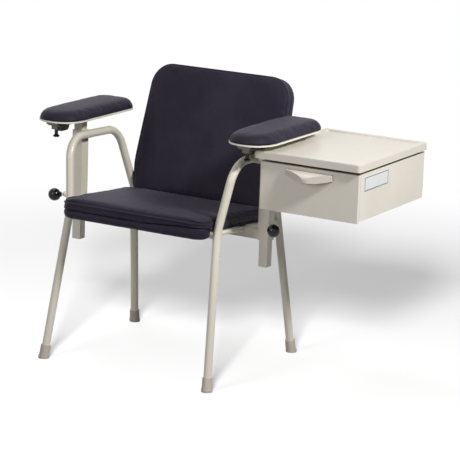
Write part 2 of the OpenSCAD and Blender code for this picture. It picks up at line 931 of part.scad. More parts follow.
module arm_guides_left() {
    color(steel) stand() arm_guides(LEFT);
}

module arm_guides_right() {
    color(steel) stand() arm_guides(RIGHT);
}

// Clamp block: a saddle plate under both guide lips and a stepped boss
module arm_clamp(side) {
    plate_w = 2 * (guide_x + guide_t);
    boss = [
        [-clamp_front, 0], [-clamp_front, guide_z - clamp_step_z],
        [-clamp_step_y, guide_z - clamp_step_z], [-clamp_step_y, guide_z - clamp_low_z],
        [-clamp_rear - clamp_chamfer, guide_z - clamp_low_z],
        [-clamp_rear, guide_z - clamp_low_z + clamp_chamfer], [-clamp_rear, 0]
    ];
    on_arm(side) translate([0, 0, -guide_z]) difference() {
        union() {
            translate([-plate_w / 2, -clamp_front, -clamp_plate_t])
                cube([plate_w, clamp_front - clamp_rear, clamp_plate_t]);
            translate([-clamp_w / 2, 0, 0]) rotate([90, 0, 90])
                linear_extrude(clamp_w) polygon(boss);
        }
        translate([0, -slide_screw_y, -clamp_low_z])
            cylinder(d = slide_screw_d + 2 * weld_gap, h = clamp_low_z + overrun);
    }
}

module arm_clamp_left() {
    color(paint) stand() arm_clamp(LEFT);
}

module arm_clamp_right() {
    color(paint) stand() arm_clamp(RIGHT);
}

// Arm pad: a steep side, a soft ridge round the top and a shallow crown
module arm_pad(side) {
    rings = [for (s = pad_ring_shares)
        at_height(arm_outline(pad_inset + s[0] * arm_w / 2),
            arm_board_t + soft_gap + s[1] * arm_pad_h)];
    on_arm(side) loft(rings);
}

module arm_pad_left() {
    color(vinyl) stand() arm_pad(LEFT);
}

module arm_pad_right() {
    color(vinyl) stand() arm_pad(RIGHT);
}

// Small flanged knob under the front of each arm, on a screw to the tongue
module on_slide_screw(side) {
    on_arm(side) translate([0, -slide_screw_y, 0]) children();
}

module slide_knob(side) {
    profile = [
        [0, 0], [knob_stem_d / 2, 0], [knob_stem_d / 2, -knob_h + knob_cap_t + knob_flare],
        [knob_d / 2, -knob_h + knob_cap_t], [knob_d / 2, -knob_h + knob_cap_t / 2],
        [knob_d / 2 - knob_cap_t / 2, -knob_h], [0, -knob_h]
    ];
    on_slide_screw(side) translate([0, 0, -knob_top]) difference() {
        rotate_extrude($fn = facets) polygon(profile);
        translate([0, 0, -knob_bore]) cylinder(d = slide_screw_d + 2 * weld_gap, h = knob_bore + overrun);
    }
}

module slide_knob_left() {
    color(black) stand() slide_knob(LEFT);
}

module slide_knob_right() {
    color(black) stand() slide_knob(RIGHT);
}

module slide_screw(side) {
    top = -tongue_t - 2 * slide_gap;
    on_slide_screw(side) translate([0, 0, -knob_top - knob_bore])
        cylinder(d = slide_screw_d, h = knob_top + knob_bore + top);
}

module slide_screw_left() {
    color(steel) stand() slide_screw(LEFT);
}

module slide_screw_right() {
    color(steel) stand() slide_screw(RIGHT);
}

// Ball knob and its screw on the sleeve's front outer corner
module height_knob(side) {
    along_screw(side) difference() {
        union() {
            translate([0, 0, ball_out]) sphere(d = ball_d);
            translate([0, 0, ball_out - ball_d / 2 - ball_neck_h / 2])
                cylinder(d = ball_neck_d, h = ball_neck_h * 2);
        }
        translate([0, 0, ball_out - ball_d])
            cylinder(d = screw_d + 2 * weld_gap, h = ball_d / 2 + ball_bore);
    }
}

module height_knob_left() {
    color(black) stand() height_knob(LEFT);
}

module height_knob_right() {
    color(black) stand() height_knob(RIGHT);
}

module height_screw(side) {
    start = post_w / 2 * sqrt(2) + slide_gap;
    along_screw(side) translate([0, 0, start])
        cylinder(d = screw_d, h = ball_out - ball_d / 2 + ball_bore - start);
}

module height_screw_left() {
    color(steel) stand() height_screw(LEFT);
}

module height_screw_right() {
    color(steel) stand() height_screw(RIGHT);
}

// Bracket from the right sleeve to the cabinet's near wall
module wall_bolt_places() {
    for (y = [-bracket_front + bracket_bolt_in, bracket_rear - bracket_bolt_in])
        for (z = bolt_rows_z)
            translate([shell_x0 - bracket_plate_t, y, z]) rotate([0, 90, 0]) children();
    translate([shell_x0 - bracket_plate_t, stay_y + stay_foot / 2, bolt_rows_z[1]])
        rotate([0, 90, 0]) children();
}

module wall_bolt_holes() {
    wall_bolt_places() translate([0, 0, -overrun])
        cylinder(d = wall_bolt_d + bolt_clear,
            h = bracket_plate_t + sheet + stiffener_t + 2 * overrun);
}

module cabinet_bracket() {
    reach = shell_off - bracket_plate_t;
    x0 = post_x + sleeve_w / 2;
    color(paint) stand() difference() {
        union() {
            translate([shell_x0 - bracket_plate_t, -bracket_front, bracket_z0])
                cube([bracket_plate_t, bracket_front + bracket_rear, bracket_h]);
            translate([x0, post_y - sleeve_w / 2, bracket_z0])
                cube([reach, sleeve_w, bracket_h]);
        }
        translate([x0 + bracket_wall, post_y - sleeve_w / 2 + bracket_wall, bracket_z0 - overrun])
            cube([reach - bracket_wall, sleeve_w - 2 * bracket_wall, bracket_h + 2 * overrun]);
        wall_bolt_holes();
    }
}

// Stay from the rear of the right arch to the same wall
module cabinet_stay() {
    z0 = bolt_rows_z[1] - stay_h / 2;
    color(paint) stand() difference() {
        union() {
            translate([arch_half, stay_y - stay_t, z0])
                cube([shell_x0 - arch_half, stay_t, stay_h]);
            translate([shell_x0 - bracket_plate_t, stay_y - stay_t, z0])
                cube([bracket_plate_t, stay_t + stay_foot, stay_h]);
        }
        frame_rod(RIGHT, tube_d + 2 * weld_gap);
        wall_bolt_holes();
    }
}

module cabinet_bolts() {
    inside = bracket_plate_t + sheet + stiffener_t;
    color(steel) stand() wall_bolt_places() {
        translate([0, 0, -wall_nut_t]) cylinder(d = bolt_head_d, h = wall_nut_t, $fn = 6);
        cylinder(d = wall_bolt_d, h = inside);
        translate([0, 0, inside]) cylinder(d = bolt_head_d, h = wall_head_t);
    }
}

// Two flat bars inside the near wall that spread the bracket's load
module cabinet_stiffeners() {
    color(steel) stand() difference() {
        for (z = bolt_rows_z)
            translate([shell_x0 + sheet, shell_y0 + stiffener_in, z - stiffener_w / 2])
                cube([stiffener_t, shell_depth - 2 * stiffener_in, stiffener_w]);
        wall_bolt_holes();
    }
}

// Cabinet shell: folded sheet, open at the front, with a turned in front edge
module cabinet_shell() {
    inner_w = shell_w - 2 * sheet;
    inner_h = shell_h - 2 * sheet;
    color(paint) stand() difference() {
        translate([shell_x0, shell_y0, shell_z0]) cube([shell_w, shell_depth, shell_h]);
        translate([shell_x0 + sheet, shell_y0 + sheet, shell_z0 + sheet])
            cube([inner_w, shell_depth - 2 * sheet, inner_h]);
        translate([shell_x0 + sheet, shell_y0 - overrun, shell_z0 + shell_return])
            cube([inner_w, sheet + 2 * overrun, shell_h - 2 * shell_return]);
        wall_bolt_holes();
    }
}

// Runners on the shell's walls and the drawer's rails inside them
module drawer_runners() {
    z0 = runner_z - runner_inner_h / 2 - sheet;
    section = [
        [0, 0], [runner_d, 0], [runner_d, sheet], [sheet, sheet],
        [sheet, sheet + runner_inner_h], [runner_d, sheet + runner_inner_h],
        [runner_d, 2 * sheet + runner_inner_h], [0, 2 * sheet + runner_inner_h]
    ];
    color(steel) stand() {
        translate([shell_x0 + sheet, shell_y0 + runner_front + runner_len, z0])
            rotate([90, 0, 0]) linear_extrude(runner_len) polygon(section);
        translate([shell_x1 - sheet, shell_y0 + runner_front + runner_len, z0])
            rotate([90, 0, 0]) linear_extrude(runner_len) mirror([1, 0]) polygon(section);
    }
}

// Drawer box, front, rails and pull
module drawer_box() {
    w = box_x1 - box_x0;
    color(paint) stand() difference() {
        translate([box_x0, box_y0, box_z0]) cube([w, box_y1 - box_y0, box_h]);
        translate([box_x0 + sheet, box_y0 + sheet, box_z0 + sheet])
            cube([w - 2 * sheet, box_y1 - box_y0 - 2 * sheet, box_h]);
        rivet_places() rivet_hole();
    }
}

module drawer_rails() {
    w = runner_d + box_gap - sheet - rail_inset;
    y0 = shell_y0 + runner_front + rail_start;
    color(steel) stand() for (x = [box_x0 - w, box_x1])
        translate([x, y0, runner_z - rail_h / 2]) cube([w, box_y1 - y0, rail_h]);
}

module drawer_front() {
    w = shell_w + 2 * front_over;
    h = shell_h + front_drop;
    color(paint) stand() difference() {
        translate([shell_x0 - front_over, -drawer_lead, shell_z0 - front_drop])
            cube([w, front_t, h]);
        translate([shell_x0 - front_over + sheet, -drawer_lead + sheet, shell_z0 - front_drop + sheet])
            cube([w - 2 * sheet, front_t, h - 2 * sheet]);
        rivet_places() rivet_hole();
    }
}

// Cup pull: a bowed plan with a sloping face, hollow underneath
module pull_plan(inset) {
    half = pull_w / 2 - inset;
    hull() {
        translate([-half, inset - pull_end]) square([2 * half, pull_end]);
        translate([0, pull_nose_r - pull_out + inset * 2])
            circle(r = pull_nose_r - inset / 2, $fn = facets / 2);
    }
}

module pull_side(inset) {
    reach = pull_out - inset;
    fall = pull_h * (1 - pull_lip_share);
    curve = [for (i = [0:pull_steps]) let (a = 90 * i / pull_steps)
        [-reach * sin(a), -inset - fall * (1 - cos(a))]];
    polygon(concat([[overrun, -inset]], curve,
        [[-reach, -pull_h - 2 * inset], [overrun, -pull_h - 2 * inset]]));
}

// Front view of the pull: its lower edge dips towards the middle
module pull_face() {
    polygon([
        [-pull_w, 0], [-pull_w / 2, -pull_h * pull_end_share],
        [-pull_w * pull_flat_share, -pull_h], [pull_w * pull_flat_share, -pull_h],
        [pull_w / 2, -pull_h * pull_end_share], [pull_w, 0]
    ]);
}

module pull_body(inset) {
    intersection() {
        translate([0, 0, -2 * pull_h]) linear_extrude(3 * pull_h) pull_plan(inset);
        translate([-pull_w, 0, 0]) rotate([90, 0, 90]) linear_extrude(2 * pull_w) pull_side(inset);
    }
}

module drawer_handle() {
    color(cream) stand() translate([(shell_x0 + shell_x1) / 2, -drawer_lead, pull_top])
        difference() {
            intersection() {
                pull_body(0);
                translate([0, pull_out, 0]) rotate([90, 0, 0])
                    linear_extrude(3 * pull_out) pull_face();
            }
            pull_body(pull_wall);
            translate([-pull_w, 0, -2 * pull_h]) cube([2 * pull_w, pull_out, 3 * pull_h]);
        }
}

// Blind rivets through the box's front wall into the drawer front
module rivet_places() {
    for (x = rivet_x_shares)
        for (z = rivet_z_shares)
            translate([mix(box_x0, box_x1, x), box_y0 + sheet, box_z0 + box_h * z])
                rotate([-90, 0, 0]) children();
}

module rivet_hole() {
    translate([0, 0, -2 * sheet + rivet_end - slide_gap])
        cylinder(d = rivet_shank_d + 2 * weld_gap, h = 2 * sheet);
}

module drawer_rivets() {
    color(steel) stand() rivet_places() {
        cylinder(d = rivet_d, h = rivet_head);
        translate([0, 0, -2 * sheet + rivet_end])
            cylinder(d = rivet_shank_d, h = 2 * sheet - rivet_end);
    }
}

// Rubber bumpers on the shell's rear wall stop the closed drawer
module drawer_bumpers() {
    y = box_y1 + slide_gap;
    color(black) stand() for (x = bumper_x_shares)
        translate([mix(box_x0, box_x1, x), y, box_z0 + box_h / 2])
            rotate([-90, 0, 0]) cylinder(d = bumper_d, h = shell_y1 - sheet - y);
}

// Strips between the shell and the tray top, set back to leave a shadow line
module tray_spacers() {
    x0 = shell_x0 + spacer_in;
    x1 = shell_x1 - spacer_in - spacer_w;
    y0 = shell_y0 + spacer_in;
    y1 = shell_y1 - spacer_in;
    color(black) stand() {
        for (x = [x0, x1]) translate([x, y0, shell_top]) cube([spacer_w, y1 - y0, tray_reveal]);
        for (y = [y0, y1 - spacer_w]) translate([x0 + spacer_w, y, shell_top])
            cube([x1 - x0 - spacer_w, spacer_w, tray_reveal]);
    }
}

// Tray top: rounded slab with a sunk surface inside a lip
module round_slab(x0, x1, y0, y1, r, h) {
    linear_extrude(h) polygon([for (p = slab_points(x1 - x0, y1 - y0, r)) p + [x0, y0]]);
}

function slab_points(w, l, r) = concat(
    arc_points([r, r], r, 180, 270), arc_points([w - r, r], r, 270, 360),
    arc_points([w - r, l - r], r, 0, 90), arc_points([r, l - r], r, 90, 180));

// Slab with a rounded upper edge, made of stacked slices
module tray_outer() {
    flat_h = tray_h - tray_edge_r;
    translate([0, 0, tray_z0])
        round_slab(tray_x0, tray_x1, tray_y0, shell_y1, tray_r, flat_h);
    for (i = [1:edge_slices]) {
        rise = tray_edge_r / edge_slices;
        inset = tray_edge_r * (1 - cos(asin((i - 0.5) / edge_slices)));
        translate([0, 0, tray_z0 + flat_h + (i - 1) * rise])
            round_slab(tray_x0 + inset, tray_x1 - inset, tray_y0 + inset, shell_y1 - inset,
                tray_r - inset, rise);
    }
}

module tray_top() {
    color(cream) stand() difference() {
        tray_outer();
        translate([0, 0, tray_z0 + tray_h - tray_sink])
            round_slab(tray_x0 + tray_lip, tray_x1 - tray_lip, tray_y0 + tray_lip,
                shell_y1 - tray_lip, tray_inner_r, tray_sink + overrun);
    }
}

// Bare plate on the outer wall
module nameplate() {
    color(label) stand() translate([shell_x1, -plate_front, shell_top - plate_drop - plate_h])
        cube([plate_t, plate_w, plate_h]);
}

side_frame_left();
side_frame_right();
foot_front_left();
foot_front_right();
foot_rear_left();
foot_rear_right();
front_cross_tube();
arm_cross_tube();
rear_cross_tube();
seat_rail_left();
seat_rail_right();
sleeve_left();
sleeve_right();
sleeve_tab_left();
sleeve_tab_right();
seat_board();
seat_cushion();
seat_front_roll();
seat_bolts();
back_uprights();
back_board();
back_cushion();
back_bolts();
arm_post_left();
arm_post_right();
arm_tongue_left();
arm_tongue_right();
arm_board_left();
arm_board_right();
arm_guides_left();
arm_guides_right();
arm_clamp_left();
arm_clamp_right();
arm_pad_left();
arm_pad_right();
slide_knob_left();
slide_knob_right();
slide_screw_left();
slide_screw_right();
height_knob_left();
height_knob_right();
height_screw_left();
height_screw_right();
cabinet_bracket();
cabinet_stay();
cabinet_bolts();
cabinet_stiffeners();
cabinet_shell();
drawer_runners();
drawer_bumpers();
tray_spacers();
tray_top();
nameplate();
drawer_box();
drawer_rails();
drawer_front();
drawer_handle();
drawer_rivets();
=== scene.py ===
"""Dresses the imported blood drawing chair: painted frame, sewn vinyl cushions, cabinet, studio.

Every length is in metres. Places on the chair are written from its centre plane and from the
floor, in millimetres, and `at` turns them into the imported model's own frame.
"""
from __future__ import annotations

import logging
import math
from dataclasses import dataclass, field
from enum import Enum
from typing import Callable, Iterable, Sequence

import bpy
from mathutils import Matrix, Vector, noise


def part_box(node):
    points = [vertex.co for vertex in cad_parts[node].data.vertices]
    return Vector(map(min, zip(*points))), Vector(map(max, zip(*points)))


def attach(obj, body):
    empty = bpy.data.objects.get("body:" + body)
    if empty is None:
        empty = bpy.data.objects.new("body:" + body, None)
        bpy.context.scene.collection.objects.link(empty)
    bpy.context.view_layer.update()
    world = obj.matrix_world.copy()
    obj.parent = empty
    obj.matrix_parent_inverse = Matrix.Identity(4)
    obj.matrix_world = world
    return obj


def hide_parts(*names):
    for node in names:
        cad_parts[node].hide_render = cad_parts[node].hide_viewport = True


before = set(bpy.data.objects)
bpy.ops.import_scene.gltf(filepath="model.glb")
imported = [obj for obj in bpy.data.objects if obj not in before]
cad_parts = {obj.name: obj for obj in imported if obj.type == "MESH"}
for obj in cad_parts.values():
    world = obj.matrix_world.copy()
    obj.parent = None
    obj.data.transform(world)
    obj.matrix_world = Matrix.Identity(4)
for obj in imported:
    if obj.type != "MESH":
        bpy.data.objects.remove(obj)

log = logging.getLogger("chair")
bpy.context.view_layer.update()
MM = 0.001
ORIGIN = Vector((127.0125, -6.344, 0.0)) * MM
WHITE = (1.0, 1.0, 1.0, 1.0)
Pair = tuple[float, float]
Triple = tuple[float, float, float]
Colour = Triple
Ring = list[Vector]


def at(x: float, y: float, z: float) -> Vector:
    """Turns a place on the chair, in millimetres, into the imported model's frame.

    Args:
        x: Distance to the viewer's right of the chair's centre plane.
        y: Distance behind the chair's middle.
        z: Height above the floor.

    Returns:
        The same place in metres from the model's origin.
    """
    return Vector((x, y, z)) * MM - ORIGIN


def srgb(red: int, green: int, blue: int) -> Colour:
    """Turns a colour as it looks on screen, in 0 to 255, into linear light.

    Args:
        red: Its red.
        green: Its green.
        blue: Its blue.

    Returns:
        The linear colour.
    """
    def linear(value: int) -> float:
        """Turns one channel into linear light."""
        share = value / 255
        return share / 12.92 if share <= 0.04045 else ((share + 0.055) / 1.055) ** 2.4
    return linear(red), linear(green), linear(blue)


class Side(Enum):
    """The chair's two sides as the viewer in front sees them."""

    LEFT = -1
    RIGHT = 1

    @property
    def word(self) -> str:
        """The side's name in lower case, as the CAD nodes have it."""
        return self.name.lower()


class Wire:
    """A socket of a material, on which Python's operators add Math nodes."""

    def __init__(self, sheet: "Sheet", socket: bpy.types.NodeSocket) -> None:
        """Keeps the node tree that the socket belongs to."""
        self.sheet = sheet
        self.socket = socket

    def _math(self, operation: str, first: "Wire | float", second: "Wire | float") -> "Wire":
        """Adds one Math node, whose operation has Blender's name."""
        return self.sheet.node("ShaderNodeMath", {"operation": operation}, {0: first, 1: second})

    def __add__(self, other: "Wire | float") -> "Wire":
        """Adds two values."""
        return self._math("ADD", self, other)

    __radd__ = __add__

    def __sub__(self, other: "Wire | float") -> "Wire":
        """Takes another value from this one."""
        return self._math("SUBTRACT", self, other)

    def __rsub__(self, other: float) -> "Wire":
        """Takes this value from a number."""
        return self._math("SUBTRACT", other, self)

    def __mul__(self, other: "Wire | float") -> "Wire":
        """Multiplies two values."""
        return self._math("MULTIPLY", self, other)

    __rmul__ = __mul__

    def __or__(self, other: "Wire | float") -> "Wire":
        """Takes the larger of two values."""
        return self._math("MAXIMUM", self, other)

    def __abs__(self) -> "Wire":
        """Takes this value without its sign."""
        return self._math("ABSOLUTE", self, 0.0)

    def step(self, low: float, high: float) -> "Wire":
        """Rises smoothly from 0 at low to 1 at high."""
        return self.sheet.node("ShaderNodeMapRange", {"interpolation_type": "SMOOTHSTEP"},
                                {"Value": self, "From Min": low, "From Max": high})


class Sheet:
    """A node tree whose nodes all come from one method."""

    def __init__(self, tree: bpy.types.NodeTree) -> None:
        """Keeps the tree."""
        self.tree = tree

    def node(self, kind: str, settings: dict | None = None, inputs: dict | None = None,
             out: int | str = 0) -> Wire:
        """Adds any node.

        Args:
            kind: Blender's type name of the node.
            settings: Attributes that are set first, such as a Math node's operation.
            inputs: Values or wires for its sockets, by name or number.
            out: The output socket wanted.

        Returns:
            The wire that leaves the node.
        """
        node = self.tree.nodes.new(kind)
        for key, value in (settings or {}).items():
            setattr(node, key, value)
        for key, value in (inputs or {}).items():
            if isinstance(value, Wire):
                self.tree.links.new(value.socket, node.inputs[key])
            else:
                node.inputs[key].default_value = value
        return Wire(self, node.outputs[out])

    def seen(self) -> Wire:
        """1 where the camera, a reflection or a glass looks, and 0 where light is gathered."""
        camera, gloss, glass = (self.node("ShaderNodeLightPath", out=f"Is {kind} Ray")
                                for kind in ("Camera", "Glossy", "Transmission"))
        return camera | gloss | glass


class Recipe(Sheet):
    """Builds one material's nodes round its Principled shader."""

    def __init__(self, name: str) -> None:
        """Makes an empty material with a Principled shader."""
        self.material = bpy.data.materials.new(name)
        self.material.use_nodes = True
        super().__init__(self.material.node_tree)
        self.shader = self.tree.nodes["Principled BSDF"]

    def place(self) -> Wire:
        """The surface point in the model's own frame, which moves with its body."""
        return self.node("ShaderNodeTexCoord", out="Object")

    def along(self, axis: int) -> Wire:
        """The surface point's place along X, Y or Z, for 0, 1 or 2."""
        return self.node("ShaderNodeSeparateXYZ", None, {0: self.place()}, axis)

    def noise(self, scale: float, detail: float = 3.0, roughness: float = 0.5,
              stretch: Triple = (1.0, 1.0, 1.0)) -> Wire:
        """Adds a noise field.

        Args:
            scale: Cells per metre.
            detail: Octaves.
            roughness: Weight of the finer octaves.
            stretch: Scale of the point along each axis first.

        Returns:
            The noise's value, about 0 to 1.
        """
        point = self.place()
        if stretch != (1.0, 1.0, 1.0):
            point = self.node("ShaderNodeVectorMath", {"operation": "MULTIPLY"},
                              {0: point, 1: stretch})
        return self.node("ShaderNodeTexNoise", None, {
            "Vector": point, "Scale": scale, "Detail": detail, "Roughness": roughness})

    def blend(self, share: Wire, first: Colour | Wire, second: Colour | Wire) -> Wire:
        """Mixes two colours.

        Args:
            share: Part of the second colour.
            first: Colour where share is 0.
            second: Colour where share is 1.

        Returns:
            The mixed colour.
        """
        low, high = (end if isinstance(end, Wire) else (*end, 1.0) for end in (first, second))
        return self.node("ShaderNodeMix", {"data_type": "RGBA"}, {0: share, 6: low, 7: high}, 2)

    def feed(self, socket: str, wire: Wire) -> None:
        """Links a wire to a socket of the Principled shader."""
        self.tree.links.new(wire.socket, self.shader.inputs[socket])

    def set(self, **values: float | tuple) -> None:
        """Sets constants on the shader's sockets; an underscore stands for a space."""
        for key, value in values.items():
            self.shader.inputs[key.replace("_", " ")].default_value = value

    def bump(self, height: Wire, depth: float, strength: float = 1.0) -> None:
        """Feeds a height field to the shader's normal.

        Args:
            height: Height, about 0 to 1.
            depth: What a height of 1 stands for, in metres.
            strength: Weight of the bump.
        """
        self.feed("Normal", self.node("ShaderNodeBump", None, {
            "Height": height, "Distance": depth, "Strength": strength}, "Normal"))

    def glow(self, share: Wire) -> None:
        """Lays an even white over the surface.

        Args:
            share: Part of the white, where 1 hides the surface.
        """
        white = self.node("ShaderNodeEmission", None, {"Color": WHITE, "Strength": 1.0})
        surface = Wire(self, self.shader.outputs["BSDF"])
        mixed = self.node("ShaderNodeMixShader", None, {0: share, 1: surface, 2: white})
        self.tree.links.new(mixed.socket, self.tree.nodes["Material Output"].inputs["Surface"])


@dataclass(frozen=True)
class Finish:
    """A finish by name. Each kind lays its own pattern."""

    name: str

    def lay(self, recipe: Recipe) -> None:
        """Feeds and sets the shader's sockets.

        Args:
            recipe: The recipe being built.
        """
        raise NotImplementedError

    def material(self) -> bpy.types.Material:
        """Builds the finish's material.

        Returns:
            The material.
        """
        recipe = Recipe(self.name)
        self.lay(recipe)
        return recipe.material


@dataclass(frozen=True)
class Enamel(Finish):
    """Baked enamel on steel: slight orange peel, cloudy tone and rubbed high spots."""

    colour: Colour
    shade: Colour
    roughness: float = 0.36
    peel: float = 0.00006
    clouding: float = 0.55
    flecking: float = 0.18

    def add_painted_shade(self, recipe: Recipe, tone: Wire) -> Wire:
        """The colour with painted shade at the joints: none on plain enamel."""
        return tone

    def lay(self, recipe: Recipe) -> None:
        """Lays clouds, flecks and orange peel.

        Args:
            recipe: The recipe being built.
        """
        cloud = recipe.noise(5.0, 4.0, 0.6).step(0.35, 0.75)
        fleck = recipe.noise(140.0, 3.0, 0.7).step(0.62, 0.8)
        tone = recipe.blend(cloud * self.clouding, self.colour, self.shade)
        tone = recipe.blend(fleck * self.flecking, tone, self.shade)
        recipe.feed("Base Color", self.add_painted_shade(recipe, tone))
        recipe.feed("Roughness", cloud * 0.08 + fleck * 0.06 + self.roughness)
        recipe.set(Coat_Weight=0.3, Coat_Roughness=0.16, Specular_IOR_Level=0.4)
        recipe.bump(recipe.noise(650.0, 2.0), self.peel)


@dataclass(frozen=True)
class JointShadedEnamel(Enamel):
    """Enamel with painted shade along its front and top edges: the shadow in the joint behind the
    drawer front and under the tray's overhang.

    An edge left at its first value lies beyond the chair and darkens nothing.
    """

    front: float = -1.0
    top: float = 1.0
    front_width: float = 4.2 * MM
    top_width: float = 2.2 * MM
    solid: float = 0.7
    front_share: float = 0.45
    top_share: float = 0.85
    # Colour of the painted shade in the joint and under the tray.
    joint_shade_colour: Colour = srgb(70, 64, 54)

    def add_painted_shade(self, recipe: Recipe, tone: Wire) -> Wire:
        """Paints shade along both edges, where the joint and the tray's overhang shade them.

        Args:
            recipe: The recipe being built.
            tone: The colour before the painted shade.

        Returns:
            The colour with painted shade, full over the solid share of each line's width.
        """
        depth, height = recipe.along(1), recipe.along(2)
        behind = depth.step(self.front + self.front_width * self.solid,
                            self.front + self.front_width)
        upper = height.step(self.top - self.top_width, self.top - self.top_width * self.solid)
        # Painted shade: a dark band at the front joint and under the tray's overhang.
        return recipe.blend((1.0 - behind) * self.front_share | upper * self.top_share,
                            tone, self.joint_shade_colour)


@dataclass(frozen=True)
class Vinyl(Finish):
    """Upholstery vinyl: pebbled grain, fine creases, soft sheen and slight scuffing."""

    colour: Colour
    worn: Colour
    roughness: float = 0.42
    mottle: float = 0.7
    scuffing: float = 0.2
    valley: float = 0.45
    valley_shade_tone: float = 0.55
    relief: float = 0.00032

    def lay(self, recipe: Recipe) -> None:
        """Lays clouds, scuffs and creases over the pebbled grain, with painted shade in the
        grain's valleys.

        Args:
            recipe: The recipe being built.
        """
        pebble = recipe.node("ShaderNodeTexVoronoi", {"feature": "DISTANCE_TO_EDGE"},
                             {"Vector": recipe.place(), "Scale": 620.0, "Randomness": 0.9})
        grain = pebble.step(0.0, 0.22)
        cloud = recipe.noise(6.0, 4.0, 0.6).step(0.38, 0.66)
        crease = recipe.noise(38.0, 5.0, 0.62, (1.0, 2.2, 1.0))
        scuff = recipe.noise(60.0, 4.0, 0.7).step(0.6, 0.78)
        tone = recipe.blend(cloud * self.mottle + scuff * self.scuffing, self.colour, self.worn)
        # Painted shade: the grain's valleys are darkened.
        valley_shade_colour = tuple(c * self.valley_shade_tone for c in self.colour)
        recipe.feed("Base Color", recipe.blend((1.0 - grain) * self.valley, tone, valley_shade_colour))
        recipe.feed("Roughness", cloud * 0.07 + (1.0 - grain) * 0.12 + self.roughness)
        recipe.set(Specular_IOR_Level=0.09, Sheen_Weight=0.11, Sheen_Roughness=0.4,
                   Sheen_Tint=(0.82, 0.78, 0.95, 1.0))
        recipe.bump(grain * 0.35 + crease, self.relief, 0.8)


@dataclass(frozen=True)
class Moulding(Finish):
    """Moulded plastic or rubber: faint flow marks, a fine texture and dust."""

    colour: Colour
    dust: Colour
    roughness: float
    coat: float = 0.0
    gloss: float = 0.35
    texture: float = 900.0
    depth: float = 0.00004

    def lay(self, recipe: Recipe) -> None:
        """Lays flow marks, dust and the texture.

        Args:
            recipe: The recipe being built.
        """
        flow = recipe.noise(22.0, 3.0, 0.5, (1.0, 1.0, 0.35)).step(0.4, 0.75)
        speck = recipe.noise(260.0, 2.0, 0.6).step(0.6, 0.75)
        recipe.feed("Base Color", recipe.blend(flow * 0.35 + speck * 0.15, self.colour, self.dust))
        recipe.feed("Roughness", flow * 0.1 + speck * 0.08 + self.roughness)
        recipe.set(Coat_Weight=self.coat, Coat_Roughness=0.06, Specular_IOR_Level=self.gloss)
        recipe.bump(recipe.noise(self.texture, 2.0), self.depth)


@dataclass(frozen=True)
class Zinc(Finish):
    """Zinc plated steel: brushed lines, cloudy passivation and dulled spots."""

    colour: Colour
    dull: Colour

    def lay(self, recipe: Recipe) -> None:
        """Lays the brushed lines and the clouds.

        Args:
            recipe: The recipe being built.
        """
        lines = recipe.noise(300.0, 2.0, 0.6, (1.0, 0.06, 1.0))
        cloud = recipe.noise(40.0, 4.0, 0.65).step(0.35, 0.7)
        recipe.feed("Base Color", recipe.blend(cloud * 0.6, self.colour, self.dull))
        recipe.feed("Roughness", lines * 0.12 + cloud * 0.12 + 0.28)
        recipe.feed("Metallic", 1.0 - cloud * 0.25)
        recipe.bump(lines, 0.00003)


@dataclass(frozen=True)
class BarePlate(Finish):
    """Bare label plate: satin face inside a thin printed border line."""

    face: Colour
    line: Colour
    low: Vector
    high: Vector
    border: float = 0.4 * MM
    thickness: float = 2.3 * MM
    blur: float = 0.2 * MM
    hazed: float = 0.86

    def _band(self, recipe: Recipe, axis: int) -> tuple[Wire, Wire]:
        """Measures how far inside the plate's edges a point is along one axis.

        Args:
            recipe: The recipe being built.
            axis: 1 for depth, 2 for height.

        Returns:
            Masks that are 1 outside the line's outer and inner edges.
        """
        middle = (self.low[axis] + self.high[axis]) / 2
        half = (self.high[axis] - self.low[axis]) / 2
        offset = abs(recipe.along(axis) - middle)
        outside = half - self.border
        inside = outside - self.thickness
        outer = offset.step(outside - self.blur, outside)
        inner = offset.step(inside - self.blur, inside)
        return outer, inner

    def lay(self, recipe: Recipe) -> None:
        """Lays the border line over the hazed face.

        Args:
            recipe: The recipe being built.
        """
        outer_y, inner_y = self._band(recipe, 1)
        outer_z, inner_z = self._band(recipe, 2)
        line = (inner_y | inner_z) * (1.0 - (outer_y | outer_z))
        haze = recipe.noise(45.0, 3.0, 0.6).step(0.4, 0.7)
        base = recipe.blend(haze * 0.3, self.face, tuple(c * self.hazed for c in self.face))
        recipe.feed("Base Color", recipe.blend(line * 0.85, base, self.line))
        recipe.feed("Roughness", haze * 0.1 + 0.34)
        recipe.bump(recipe.noise(800.0, 2.0), 0.00002)


def smooth_mesh(name: str, points: Sequence[Vector], faces: Sequence[Sequence[int]],
                material: bpy.types.Material) -> bpy.types.Object:
    """Makes a smooth shaded mesh object.

    Args:
        name: Piece name.
        points: Vertices in the model's frame.
        faces: Vertex numbers of each face.
        material: Its finish.

    Returns:
        The new object, linked to the scene.
    """
    mesh = bpy.data.meshes.new(name)
    mesh.from_pydata([tuple(p) for p in points], [], [tuple(f) for f in faces])
    mesh.validate()
    mesh.materials.append(material)
    mesh.polygons.foreach_set("use_smooth", [True] * len(mesh.polygons))
    piece = bpy.data.objects.new(name, mesh)
    bpy.context.scene.collection.objects.link(piece)
    return piece


def apply_modifiers(piece: bpy.types.Object) -> None:
    """Turns what the piece's modifiers make into its own mesh.

    Args:
        piece: The piece, which keeps no modifier.
    """
    graph = bpy.context.evaluated_depsgraph_get()
    made = bpy.data.meshes.new_from_object(piece.evaluated_get(graph), depsgraph=graph)
    piece.modifiers.clear()
    old, piece.data = piece.data, made
    bpy.data.meshes.remove(old)


